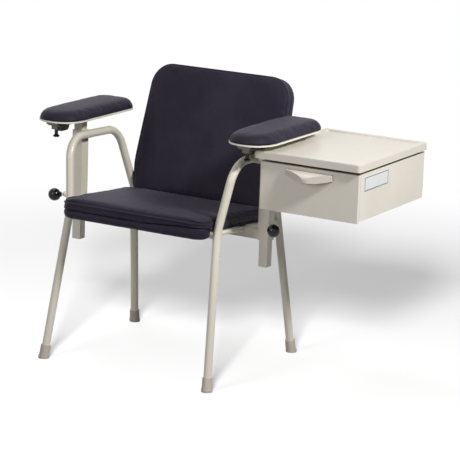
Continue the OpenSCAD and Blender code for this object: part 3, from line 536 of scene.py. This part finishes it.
def spread_evenly(line: Sequence[Vector], count: int) -> Ring:
    """Places count steps of equal length along a line of points.

    Args:
        line: Points of the line.
        count: Number of steps.

    Returns:
        The first point of each step, so the line's own last point is left out.
    """
    lengths = [(b - a).length for a, b in zip(line, line[1:])]
    total, out, walked, i = sum(lengths), [], 0.0, 0
    for k in range(count):
        target = total * k / count
        while i < len(lengths) - 1 and walked + lengths[i] < target:
            walked += lengths[i]
            i += 1
        share = (target - walked) / lengths[i] if lengths[i] else 0.0
        out.append(line[i].lerp(line[i + 1], min(1.0, share)))
    return out


def ease(share: float) -> float:
    """Turns a share into a smooth step from 0 to 1."""
    held = min(1.0, max(0.0, share))
    return held * held * (3 - 2 * held)


def arc(centre: Pair, radius: float, start: float, end: float,
        steps: int = 12) -> Ring:
    """Points of an arc in a plane.

    Args:
        centre: Its centre.
        radius: Its radius.
        start: Its first angle, in degrees.
        end: Its last angle, in degrees.
        steps: Number of steps between its points.

    Returns:
        The points, both ends included.
    """
    angles = [math.radians(start + (end - start) * i / steps) for i in range(steps + 1)]
    return [Vector((centre[0] + radius * math.cos(a), centre[1] + radius * math.sin(a), 0.0))
            for a in angles]


@dataclass
class Band:
    """One ring of a sewn pad: how far in from its outline, how high, and whether it is sewn.

    The ends of the ring may draw in further than its front and rear.
    """

    inset: float
    height: float
    sewn: bool = False
    ends: float = 0.0


@dataclass
class SewnPad:
    """A stuffed pad of sewn vinyl: a band of rings round its sides, a crowned top and a flat base.

    Its shape is written in the pad's own frame, x across, y along it and z out of its face, in
    millimetres. Its sewn rings stay where they are while the cloth between them swells.
    """

    name: str
    replaced: str
    body: str
    bands: list[Band]
    crown: float
    across: int
    along: int
    pressure: float
    most: float
    place: Callable[[Vector], Vector]
    fill: float = 0.7
    slack: float = 0.012
    pucker: float = 0.35 * MM
    gathers: tuple[Pair, ...] = ((55.0, 1.0), (120.0, 0.5))
    tightest: float = 0.16
    edge_power: int = 3
    dome_power: float = 0.8
    frames: int = 20
    still: float = 1e-9
    clear_of: list[tuple[Vector, Vector, float]] = field(default_factory=list)

    def outline(self, band: Band) -> list[Ring]:
        """The pad's outline as four lines from corner to corner: front, right, rear, left.

        Args:
            band: The ring wanted.

        Returns:
            Four lines of points, each starting where the last one ended.
        """
        raise NotImplementedError

    def drift(self, p: Vector) -> float:
        """How far the stuffing has pushed a point up since the pad was new."""
        return 0.0

    def ring(self, band: Band) -> Ring:
        """One closed ring of evenly spread points."""
        counts = (self.across, self.along, self.across, self.along)
        return [p for line, count in zip(self.outline(band), counts)
                for p in spread_evenly(line, count)]

    def _patch(self, ring: Ring, crown: float) -> tuple[Ring, Callable[[int, int], int]]:
        """Fills a ring with a smooth grid of points.

        Args:
            ring: The closed ring, all at one height.
            crown: Rise of the middle above the ring.

        Returns:
            The grid's inner points, and a function from grid place to point number, where
            negative numbers count ring points back from minus one.
        """
        m, k = self.across, self.along
        front = ring[:m + 1]
        right = ring[m:m + k + 1]
        rear = [ring[m + k + i] for i in range(m + 1)][::-1]
        left = ([ring[2 * m + k + i] for i in range(k)] + [ring[0]])[::-1]
        inner: Ring = []
        for j in range(1, k):
            v = j / k
            for i in range(1, m):
                u = i / m
                p = (front[i] * (1 - v) + rear[i] * v + left[j] * (1 - u) + right[j] * u
                     - ((1 - u) * (1 - v) * front[0] + u * (1 - v) * front[m]
                        + (1 - u) * v * rear[0] + u * v * rear[m]))
                rise = ((1 - abs(2 * u - 1) ** self.edge_power)
                        * (1 - abs(2 * v - 1) ** self.edge_power))
                inner.append(Vector((p.x, p.y, ring[0].z + crown * rise ** self.dome_power)))

        def number(i: int, j: int) -> int:
            """Numbers a grid place.

            Args:
                i: Its step across.
                j: Its step along.

            Returns:
                The point's number.
            """
            if j == 0:
                return -1 - i
            if i == m:
                return -1 - (m + j)
            if j == k:
                return -1 - (m + k + (m - i))
            if i == 0:
                return -1 - (2 * m + k + (k - j)) % (2 * m + 2 * k)
            return (j - 1) * (m - 1) + i - 1

        return inner, number

    def build(self, material: bpy.types.Material) -> bpy.types.Object:
        """Args:
            material: The vinyl.

        Returns:
            The finished piece.
        """
        size = 2 * (self.across + self.along)
        points: Ring = []
        for band in self.bands:
            points += [Vector((p.x, p.y, band.height)) for p in self.ring(band)]
        faces: list[Sequence[int]] = []
        for level in range(len(self.bands) - 1):
            low = level * size
            faces += [(low + i, low + (i + 1) % size, low + size + (i + 1) % size, low + size + i)
                      for i in range(size)]
        for level, crown, flip in ((len(self.bands) - 1, self.crown, False), (0, 0.0, True)):
            ring = points[level * size:(level + 1) * size]
            inner, number = self._patch(ring, crown)
            base = len(points)
            points += inner

            def find(i: int, j: int, level: int = level, base: int = base) -> int:
                """Point number of a grid place in the whole mesh."""
                n = number(i, j)
                return base + n if n >= 0 else level * size + (-1 - n)

            for j in range(self.along):
                for i in range(self.across):
                    quad = (find(i, j), find(i + 1, j), find(i + 1, j + 1), find(i, j + 1))
                    faces.append(quad[::-1] if flip else quad)
        moved = [p + Vector((0.0, 0.0, self.drift(p))) for p in points]
        piece = smooth_mesh(self.name, [self.place(p * MM) for p in moved], faces, material)
        held = {i for level, band in enumerate(self.bands) if band.sewn
                for i in range(level * size, (level + 1) * size)}
        base_inner = len(points) - (self.across - 1) * (self.along - 1)
        held |= set(range(base_inner, len(points)))
        self._gather(piece, held, size)
        self._swell(piece, held)
        self._keep_clear(piece)
        smooth = piece.modifiers.new("smooth", "SUBSURF")
        smooth.levels = smooth.render_levels = 1
        apply_modifiers(piece)
        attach(piece, self.body)
        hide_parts(self.replaced)
        return piece

    def _gather(self, piece: bpy.types.Object, held: set[int], size: int) -> None:
        """Adds faint gathers to the rings that aren't sewn.

        Args:
            piece: The pad.
            held: Point numbers that stay where they are.
            size: Points in one ring.
        """
        mesh = piece.data
        normals = [v.normal.copy() for v in mesh.vertices]
        for vertex in mesh.vertices:
            if vertex.index in held or vertex.index >= len(self.bands) * size:
                continue
            wave = sum(share * noise.noise(vertex.co * scale) for scale, share in self.gathers)
            vertex.co += normals[vertex.index] * self.pucker * wave

    def _swell(self, piece: bpy.types.Object, held: set[int]) -> None:
        """Runs the cloth simulation and limits how far a point moves.

        Args:
            piece: The pad.
            held: Point numbers that stay where they are.
        """
        start = [v.co.copy() for v in piece.data.vertices]
        group = piece.vertex_groups.new(name="sewn")
        group.add(sorted(held), 1.0, "REPLACE")
        cloth = piece.modifiers.new("cloth", "CLOTH")
        rules = cloth.settings
        rules.quality = 5
        rules.mass = 0.3
        rules.tension_stiffness = rules.compression_stiffness = 18.0
        rules.shear_stiffness = 8.0
        rules.bending_stiffness = 0.6
        rules.use_pressure = True
        rules.uniform_pressure_force = self.pressure
        rules.vertex_group_mass = "sewn"
        rules.shrink_min = -self.slack
        rules.effector_weights.gravity = 0.0
        cloth.collision_settings.use_collision = False
        cloth.point_cache.frame_end = self.frames
        for step in range(1, self.frames + 1):
            bpy.context.scene.frame_set(step)
        apply_modifiers(piece)
        bpy.context.scene.frame_set(1)
        for vertex, rest in zip(piece.data.vertices, start):
            move = vertex.co - rest
            length = move.length
            if length > self.still:
                vertex.co = rest + move * (self.most * math.tanh(length / self.most) / length)

    def _keep_clear(self, piece: bpy.types.Object) -> None:
        """Pushes points out of the rods that the pad passes.

        Args:
            piece: The pad.
        """
        for a, b, radius in self.clear_of:
            axis = (b - a).normalized()
            for vertex in piece.data.vertices:
                away = vertex.co - a
                away -= axis * away.dot(axis)
                if away.length < radius:
                    vertex.co += away.normalized() * (radius - away.length)


@dataclass
class BoxPad(SewnPad):
    """A pad with a rectangular outline and round corners."""

    half: float = 226.0
    low: float = -65.0
    high: float = 284.0
    low_radius: float = 38.0
    high_radius: float = 24.0
    side_steps: int = 90

    def shaped(self, p: Vector, band: Band) -> Vector:
        """Moves a point of the plain outline to where the pad has it."""
        return p

    def outline(self, band: Band) -> list[Ring]:
        """The four lines of the rounded rectangle, from corner middle to corner middle.

        Args:
            band: The ring wanted.

        Returns:
            The front, right, rear and left lines.
        """
        inset = band.inset
        x, y0, y1 = self.half - inset - band.ends, self.low + inset, self.high - inset
        a = max(self.low_radius - inset, self.low_radius * self.tightest)
        b = max(self.high_radius - inset, self.high_radius * self.tightest)
        fine = [Vector((x, y0 + a + (y1 - b - y0 - a) * i / self.side_steps, 0.0))
                for i in range(self.side_steps + 1)]
        other = [Vector((-p.x, p.y, 0.0)) for p in reversed(fine)]
        lines = [
            arc((-x + a, y0 + a), a, 225, 270) + arc((x - a, y0 + a), a, 270, 315),
            arc((x - a, y0 + a), a, 315, 360) + fine + arc((x - b, y1 - b), b, 0, 45),
            arc((x - b, y1 - b), b, 45, 90) + arc((-x + b, y1 - b), b, 90, 135),
            arc((-x + b, y1 - b), b, 135, 180) + other + arc((-x + a, y0 + a), a, 180, 225),
        ]
        return [[self.shaped(p, band) for p in line] for line in lines]


@dataclass
class SeatPad(BoxPad):
    """The seat cushion or its roll, whose common joint has crept up towards one end.

    The cushion's sides give way where the front legs pass.
    """

    dent: float = 0.0
    dent_at: float = 2.0
    dent_width: float = 17.0
    dent_fade: float = 70.0
    creep: Pair = (-3.0, 5.5)
    creep_from: float = 20.0
    creep_to: float = 190.0
    roll_rear: float = -17.0
    creep_fade: float = 32.0
    creep_height: float = 15.0

    def shaped(self, p: Vector, band: Band) -> Vector:
        """Draws the sides in where the front legs pass.

        Args:
            p: A point of the plain outline.
            band: Its ring; the dent fades on rings that lie further in.

        Returns:
            The point moved across.
        """
        fall = math.exp(-((p.y - self.dent_at) / self.dent_width) ** 4)
        fade = max(0.0, 1 - band.inset / self.dent_fade)
        return Vector((p.x - math.copysign(self.dent * fall * fade, p.x), p.y, 0.0))

    def drift(self, p: Vector) -> float:
        """How far the joint between cushion and roll has moved up at a point.

        Args:
            p: A point in the seat's own frame.

        Returns:
            The move, in millimetres, which is negative towards the low end.
        """
        low, high = self.creep
        along = ease((p.x - self.creep_from) / (self.creep_to - self.creep_from))
        front = ease((self.roll_rear - p.y) / self.creep_fade)
        near = max(0.0, 1 - abs(p.z) / self.creep_height)
        return (low + (high - low) * along) * front * near


@dataclass
class BackPad(BoxPad):
    """The back cushion, drawn in below to pass between the rear legs and tapered above."""

    recline: float = 0.0
    foot_height: float = 0.0
    depth: float = 43.4
    waist: Pair = (229.8, 411.5)
    arch: Pair = (258.1, 583.6)
    leg_radius: float = 11.1
    leg_gap: float = 0.8
    widest: Pair = (229.0, 70.0)
    top: Pair = (217.0, 364.0)
    blend: float = 3.0

    def side(self, y: float) -> float:
        """Half the back's width at a height along it.

        Args:
            y: Height along the back.

        Returns:
            The smaller of what the legs leave and of the upper taper, blended where they meet.
        """
        turn = math.radians(self.recline)
        rise = self.foot_height + y * math.cos(turn) - self.depth * math.sin(turn) - self.waist[1]
        lean = (self.arch[0] - self.waist[0]) / (self.arch[1] - self.waist[1])
        low = self.waist[0] - self.leg_radius - self.leg_gap + max(0.0, rise) * lean
        taper = (self.top[0] - self.widest[0]) / (self.top[1] - self.widest[1])
        high = self.widest[0] + taper * (y - self.widest[1])
        return (low + high - math.hypot(low - high, self.blend)) / 2

    def shaped(self, p: Vector, band: Band) -> Vector:
        """Scales a point's place across to the back's width at its height."""
        return Vector((p.x * self.side(p.y) / self.half, p.y, 0.0))


@dataclass
class ArmCushion(SewnPad):
    """An arm pad: a blunt elliptic nose and round rear corners."""

    half: float = 67.0
    front: float = -187.0
    rear: float = 163.0
    nose: float = 80.0
    rear_radius: float = 54.0
    bluntness: float = 2.25
    nose_steps: int = 24

    def outline(self, band: Band) -> list[Ring]:
        """The four lines of the arm's outline.

        Args:
            band: The ring wanted.

        Returns:
            The nose, the right side, the rear and the left side.
        """
        inset = band.inset
        x, y0, y1 = self.half - inset, self.front + self.nose, self.rear - inset
        reach = self.nose - inset
        r = max(self.rear_radius - inset, self.rear_radius * self.tightest)

        def blunt(v: float) -> float:
            """Signed power that blunts the ellipse."""
            return math.copysign(abs(v) ** (2 / self.bluntness), v)

        def nose(start: float, end: float) -> Ring:
            """Points of the nose between two angles, in degrees."""
            angles = [math.radians(start + (end - start) * i / self.nose_steps)
                      for i in range(self.nose_steps + 1)]
            return [Vector((x * blunt(math.cos(a)), y0 + reach * blunt(math.sin(a)), 0.0))
                    for a in angles]

        return [
            nose(225, 315),
            nose(315, 360) + arc((x - r, y1 - r), r, 0, 45),
            arc((x - r, y1 - r), r, 45, 90) + arc((-x + r, y1 - r), r, 90, 135),
            arc((-x + r, y1 - r), r, 135, 180) + nose(180, 225),
        ]


@dataclass
class Upholstery:
    """The seat, its front roll, the back and both arm pads."""

    vinyl: Vinyl = Vinyl("dark_plum_vinyl", srgb(36, 31, 44), srgb(52, 48, 62))
    pitch: float = 4.5
    recline: float = 17.1
    hinge: Pair = (-180.9, 417.1)
    foot: Pair = (108.0, 414.0)
    post: float = 296.375
    arm_height: float = 633.9
    right_lift: float = 12.6
    arm_rear: Pair = (163.0, 166.0)
    board: float = 4.4
    leg_clearance: float = 11.4
    leg_low: Triple = (229.8, -180.9, 406.0)
    leg_high: Triple = (258.1, -145.8, 593.3)
    arm_profile: tuple[Pair, ...] = (
        (3.0, 0.5), (1.7, 2.0), (1.8, 5.0), (3.2, 9.4), (5.6, 13.6), (8.6, 17.4),
        (12.0, 20.6), (16.0, 22.9), (21.5, 24.4))

    def on_seat(self, p: Vector) -> Vector:
        """Places a point of the seat's own frame."""
        turned = Matrix.Rotation(math.radians(-self.pitch), 4, "X") @ p
        return turned + at(0.0, *self.hinge)

    def on_back(self, p: Vector) -> Vector:
        """Places a point of the back's own frame."""
        turned = Matrix.Rotation(math.radians(90 - self.recline), 4, "X") @ p
        return turned + at(0.0, *self.foot)

    def on_arm(self, side: Side) -> Callable[[Vector], Vector]:
        """Gives an arm's own frame.

        Args:
            side: The side that the arm is on.

        Returns:
            The function that places a point of that frame.
        """
        lift = self.right_lift if side is Side.RIGHT else 0.0
        corner = at(side.value * self.post, 0.0, self.arm_height + lift)
        return lambda p: p + corner

    def legs(self) -> list[tuple[Vector, Vector, float]]:
        """Both front legs above the kink, as rods with the clearance that the seat keeps."""
        ends = (self.leg_low, self.leg_high)
        return [(*(at(side.value * x, y, z) for x, y, z in ends), self.leg_clearance * MM)
                for side in Side]

    def seat(self) -> SewnPad:
        """The seat cushion: boxing, a stiff welt, a groove above it and a crowned top panel."""
        return SeatPad(
            name="seat_cover", replaced="seat_cushion", body="frame",
            bands=[Band(3.4, 0.5, True), Band(1.0, 1.4), Band(1.4, 4.4), Band(2.2, 8.0),
                   Band(2.6, 11.2), Band(2.0, 13.0, True), Band(0.0, 14.4, True),
                   Band(0.2, 16.2, True), Band(2.2, 17.4, True), Band(5.6, 18.2, True),
                   Band(5.6, 20.4, True), Band(3.8, 21.6), Band(4.4, 23.6), Band(7.4, 25.2),
                   Band(12.0, 26.2)],
            crown=3.2, across=66, along=52, pressure=5.0, most=2.6 * MM, place=self.on_seat,
            dent=7.7, clear_of=self.legs())

    def roll(self) -> SewnPad:
        """The padded roll under the seat's front edge."""
        return SeatPad(
            name="seat_front_roll_cover", replaced="seat_front_roll", body="frame",
            bands=[Band(9.0, -26.4, True, 6.3), Band(4.6, -25.4, False, 6.0),
                   Band(1.4, -22.4, False, 5.4), Band(0.2, -18.0, False, 4.6),
                   Band(0.0, -13.0, False, 3.8), Band(0.6, -8.4, False, 2.8),
                   Band(1.6, -4.8, False, 2.2), Band(2.8, -2.2, False, 1.8),
                   Band(4.4, -0.9, True, 1.4)],
            crown=0.0, across=66, along=8, pressure=5.0, most=2.4 * MM, place=self.on_seat,
            high=-17.1, low_radius=36.0, high_radius=8.0)

    def back(self) -> SewnPad:
        """The back cushion: grooved boxing, a stiff welt and a crowned front panel."""
        return BackPad(
            name="back_cover", replaced="back_cushion", body="frame",
            bands=[Band(3.6, -32.6, True), Band(0.8, -31.0), Band(0.2, -27.0), Band(0.5, -22.4),
                   Band(2.4, -20.4, True), Band(2.4, -19.4, True), Band(0.5, -17.4),
                   Band(0.6, -12.0), Band(1.2, -7.4), Band(0.0, -4.4, True),
                   Band(0.5, -2.4, True), Band(2.6, -1.2, True), Band(4.6, -2.4, True),
                   Band(4.8, 0.0), Band(7.0, 2.2)],
            crown=4.2, across=60, along=52, pressure=4.0, most=3.0 * MM, place=self.on_back,
            half=229.0, low=-12.0, high=364.0, low_radius=30.0, high_radius=62.0,
            recline=self.recline, foot_height=self.foot[1])

    def arm(self, side: Side) -> SewnPad:
        """One arm pad: sloping sides, a soft shoulder and a gently domed top.

        Args:
            side: The side that the arm is on.

        Returns:
            The pad, sewn to its board along the lowest ring.
        """
        return ArmCushion(
            name=f"arm_cover_{side.word}", replaced=f"arm_pad_{side.word}",
            body=f"{side.word}_carriage",
            bands=[Band(inset, self.board + rise, level == 0)
                   for level, (inset, rise) in enumerate(self.arm_profile)],
            crown=2.6, across=22, along=60, pressure=4.0, most=1.4 * MM,
            place=self.on_arm(side), pucker=0.5 * MM, rear=self.arm_rear[side is Side.RIGHT])

    def build(self) -> None:
        """Makes every pad."""
        vinyl = self.vinyl.material()
        for pad in (self.seat(), self.roll(), self.back(), *(self.arm(side) for side in Side)):
            piece = pad.build(vinyl)
            log.info("made %s, %d points", pad.name, len(piece.data.vertices))


@dataclass
class Dressing:
    """Gives every CAD node of one sub-assembly its finish."""

    title: str
    finish: Finish
    nodes: Iterable[str]
    edge: float = 0.0
    weld: float = 0.02 * MM
    segments: int = 3
    sharp: float = 50.0

    def soften(self, node: bpy.types.Object) -> None:
        """Rounds the sharp edges of a node with modifiers, so that they catch the light.

        Args:
            node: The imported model's own object, whose mesh stays as it is.
        """
        weld = node.modifiers.new("weld", "WELD")
        weld.merge_threshold = self.weld
        bevel = node.modifiers.new("soft edges", "BEVEL")
        bevel.width, bevel.segments = self.edge, self.segments
        bevel.limit_method, bevel.angle_limit = "ANGLE", math.radians(self.sharp)
        bevel.use_clamp_overlap = True
        node.modifiers.new("even shading", "WEIGHTED_NORMAL").keep_sharp = False

    def build(self) -> None:
        """Puts the finish on each node."""
        material = self.finish.material()
        for name in self.nodes:
            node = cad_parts[name]
            for slot in node.material_slots:
                slot.material = material
            if self.edge:
                self.soften(node)
        log.info("dressed %s", self.title)


def both(*names: str) -> list[str]:
    """Names each node on both sides."""
    return [f"{name}_{side.word}" for name in names for side in Side]


@dataclass
class Workshop:
    """Every finish of the chair's hard parts, by sub-assembly."""

    paint: Enamel = Enamel("frame_enamel", srgb(216, 210, 195), srgb(205, 199, 182), 0.32)
    cabinet: Enamel = Enamel("cabinet_enamel", srgb(217, 211, 199), srgb(208, 201, 187), 0.4)
    tray: Enamel = Enamel("tray_enamel", srgb(210, 204, 192), srgb(200, 193, 179), 0.38)
    cream: Enamel = Enamel("cream_enamel", srgb(227, 221, 209), srgb(218, 211, 198), 0.38)
    pull: Moulding = Moulding("pull_plastic", srgb(203, 195, 185), srgb(193, 184, 172), 0.4, 0.1)
    rubber: Moulding = Moulding("foot_rubber", srgb(196, 186, 174), srgb(170, 160, 148), 0.72,
                                0.0, 0.3, 500.0, 0.00008)
    black: Moulding = Moulding("knob_plastic", srgb(9, 8, 10), srgb(16, 15, 18), 0.07, 0.0, 0.3)
    # Painted shade: the spacers are near black so the reveal under the tray reads as its shadow.
    gasket: Moulding = Moulding("spacer_painted_shade", srgb(22, 20, 20), srgb(34, 31, 30), 0.7)
    # Painted shade: the guides are this dark because their sides lie in the arm board's shadow.
    guide: Moulding = Moulding("guide_painted_shade", srgb(34, 33, 32), srgb(52, 51, 48), 0.45)
    # Painted shade: the tongues and clamps are painted like the frame, and this dark olive grey
    # stands in for the arm pad's shadow on them.
    clamp_shade_enamel: Enamel = Enamel("clamp_painted_shade", srgb(106, 103, 90), srgb(88, 85, 74), 0.34)
    zinc: Zinc = Zinc("zinc_plate", srgb(176, 176, 172), srgb(140, 140, 136))
    cover: Vinyl = Vinyl("board_vinyl", srgb(40, 36, 46), srgb(52, 48, 60), 0.46)

    def build(self) -> None:
        """Dresses all the hard nodes."""
        low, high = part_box("nameplate")
        plate = BarePlate("bare_plate", srgb(214, 216, 216), srgb(34, 34, 40), low, high)
        plain = (self.cabinet.colour, self.cabinet.shade, self.cabinet.roughness)
        # Painted shade on the shell at the drawer joint and under the tray, and on the drawer
        # front under the tray.
        front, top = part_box("cabinet_shell")[0].y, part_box("cabinet_shell")[1].z
        shell = JointShadedEnamel("shell_enamel", *plain, front=front, top=top)
        face = JointShadedEnamel("face_enamel", *plain, top=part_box("drawer_front")[1].z)
        for dressing in (
            Dressing("painted tubes", self.paint, [
                *both("side_frame", "seat_rail"), "front_cross_tube", "rear_cross_tube"]),
            Dressing("painted brackets", self.paint, [
                *both("sleeve", "sleeve_tab", "arm_post"), "arm_cross_tube",
                "back_uprights", "cabinet_bracket", "cabinet_stay"], 0.5 * MM),
            Dressing("arm clamps", self.clamp_shade_enamel, both("arm_tongue", "arm_clamp"), 0.5 * MM),
            Dressing("rubber feet", self.rubber, both("foot_front", "foot_rear")),
            Dressing("cabinet shell", shell, ["cabinet_shell"]),
            Dressing("drawer box", self.cabinet, ["drawer_box"]),
            Dressing("drawer front", face, ["drawer_front"], 1.6 * MM),
            Dressing("tray", self.tray, ["tray_top"]),
            Dressing("arm boards", self.cream, both("arm_board"), 0.8 * MM),
            Dressing("drawer pull", self.pull, ["drawer_handle"]),
            Dressing("knobs and bumpers", self.black,
                     [*both("height_knob", "slide_knob"), "drawer_bumpers"]),
            Dressing("tray spacers", self.gasket, ["tray_spacers"]),
            Dressing("arm guides", self.guide, both("arm_guides")),
            Dressing("plated steel", self.zinc, [
                *both("slide_screw", "height_screw"), "seat_bolts",
                "back_bolts", "cabinet_bolts", "cabinet_stiffeners", "drawer_runners",
                "drawer_rails", "drawer_rivets"]),
            Dressing("covered boards", self.cover, ["seat_board", "back_board"], 1.5 * MM),
            Dressing("bare plate", plate, ["nameplate"]),
        ):
            dressing.build()


class Reach(Enum):
    """What a lamp lights. The value is the floor's link state, where it has one."""

    EVERYTHING = ""
    ALL_BUT_FLOOR = "EXCLUDE"
    FLOOR_ALONE = "INCLUDE"


@dataclass(frozen=True)
class Lamp:
    """A square soft lamp that faces the chair and that the camera doesn't see.

    It stands off from its aim in a direction. Its size is its side and its power is in watts.
    """

    name: str
    direction: Triple
    distance: float
    size: float
    power: float
    reach: Reach = Reach.EVERYTHING
    aim: Triple = (80.0, 0.0, 420.0)

    def build(self, floor: bpy.types.Object) -> None:
        """Hangs the lamp.

        Args:
            floor: The floor, which some lamps light alone and some leave out.
        """
        data = bpy.data.lights.new(self.name, "AREA")
        data.shape, data.size, data.energy = "SQUARE", self.size, self.power
        lamp = bpy.data.objects.new(self.name, data)
        away = Vector(self.direction).normalized()
        lamp.location = at(*self.aim) + away * self.distance
        lamp.rotation_euler = away.to_track_quat("Z", "Y").to_euler()
        lamp.visible_camera = False
        bpy.context.scene.collection.objects.link(lamp)
        if self.reach is not Reach.EVERYTHING:
            group = bpy.data.collections.new(f"{self.name}_reach")
            group.objects.link(floor)
            group.collection_objects[0].light_linking.link_state = self.reach.value
            lamp.light_linking.receiver_collection = group


@dataclass
class Studio:
    """Pale floor, soft lamps and the camera at the photograph's angle."""

    eye: Triple = (3109.305, -5177.84, 1786.882)
    focal: float = 2279.6
    picture: float = 460.0
    sensor: float = 36.0
    turn: tuple[Triple, Triple, Triple] = (
        (0.86456907, 0.50125992, 0.03547978),
        (-0.14584946, 0.18274064, 0.97228277),
        (0.48088279, -0.84578032, 0.23110039))
    ambient: float = 0.1
    bounce: Colour = (0.2, 0.2, 0.2)
    pale: Colour = (0.95, 0.95, 0.95)
    clouded: Colour = (0.92, 0.92, 0.92)
    shadow_middle: Triple = (-0.1, 0.4, 0.0)
    clear_radius: float = 0.9
    white_radius: float = 2.0
    floor_lift: float = 0.36
    floor_reach: float = 40.0
    floor_drop: float = 0.5 * MM
    lamps: tuple[Lamp, ...] = (
        Lamp("overhead", (-0.3, 0.1, 1.0), 4.5, 1.6, 40.0),
        Lamp("front", (-0.2, -0.9, 0.35), 6.0, 1.6, 94.0),
        Lamp("key", (0.76, -0.18, 0.62), 2.8, 0.35, 71.0, Reach.ALL_BUT_FLOOR),
        Lamp("floor_sweep", (0.344, -0.813, 0.473), 8.0, 1.4, 1040.0, Reach.FLOOR_ALONE))

    def camera(self) -> None:
        """Sets the camera. Its focal length and the picture's width are in pixels."""
        data = bpy.data.cameras.new("camera")
        data.sensor_width = self.sensor
        data.lens = self.focal / self.picture * self.sensor
        data.clip_end = 200.0
        camera = bpy.data.objects.new("camera", data)
        rotation = Matrix(self.turn).transposed().to_4x4()
        camera.matrix_world = Matrix.Translation(at(*self.eye)) @ rotation
        bpy.context.scene.collection.objects.link(camera)
        bpy.context.scene.camera = camera

    def world(self) -> None:
        """A white surround for the camera and reflections, and a plainer light on the chair."""
        world = bpy.data.worlds.new("surround")
        world.use_nodes = True
        bpy.context.scene.world = world
        sheet = Sheet(world.node_tree)
        sheet.tree.nodes.clear()
        plain, white = (
            sheet.node("ShaderNodeBackground", None, {"Color": WHITE, "Strength": strength})
            for strength in (self.ambient, 1.0))
        mixed = sheet.node("ShaderNodeMixShader", None, {0: sheet.seen(), 1: plain, 2: white})
        out = sheet.tree.nodes.new("ShaderNodeOutputWorld")
        sheet.tree.links.new(mixed.socket, out.inputs["Surface"])

    def floor(self) -> bpy.types.Object:
        """Lays a wide pale floor that keeps the chair's shadow and turns white further out.

        Returns:
            The floor.
        """
        recipe = Recipe("studio_floor")
        cloud = recipe.noise(0.8, 2.0).step(0.3, 0.8)
        pale = recipe.blend(cloud * 0.2, self.pale, self.clouded)
        recipe.feed("Base Color", recipe.blend(recipe.seen(), self.bounce, pale))
        recipe.set(Roughness=0.9, Specular_IOR_Level=0.1)
        away = recipe.node("ShaderNodeVectorMath", {"operation": "DISTANCE"},
                           {0: recipe.place(), 1: self.shadow_middle}, "Value")
        far = away.step(self.clear_radius, self.white_radius)
        recipe.glow((far * (1.0 - self.floor_lift) + self.floor_lift) * recipe.seen())
        corners = [Vector((x * self.floor_reach, y * self.floor_reach, -self.floor_drop))
                   for x, y in ((-1, -1), (1, -1), (1, 1), (-1, 1))]
        floor = smooth_mesh("studio_floor", corners, [(0, 1, 2, 3)], recipe.material)
        return floor

    def build(self) -> None:
        """Sets the whole studio."""
        bpy.context.scene.view_settings.view_transform = "Standard"
        self.camera()
        self.world()
        floor = self.floor()
        for lamp in self.lamps:
            lamp.build(floor)
        log.info("set the studio")


def main() -> None:
    """Builds the sub-assemblies in order."""
    logging.basicConfig(level=logging.INFO, format="%(name)s: %(message)s")
    Workshop().build()
    Upholstery().build()
    Studio().build()


if __name__ == "__main__":
    main()
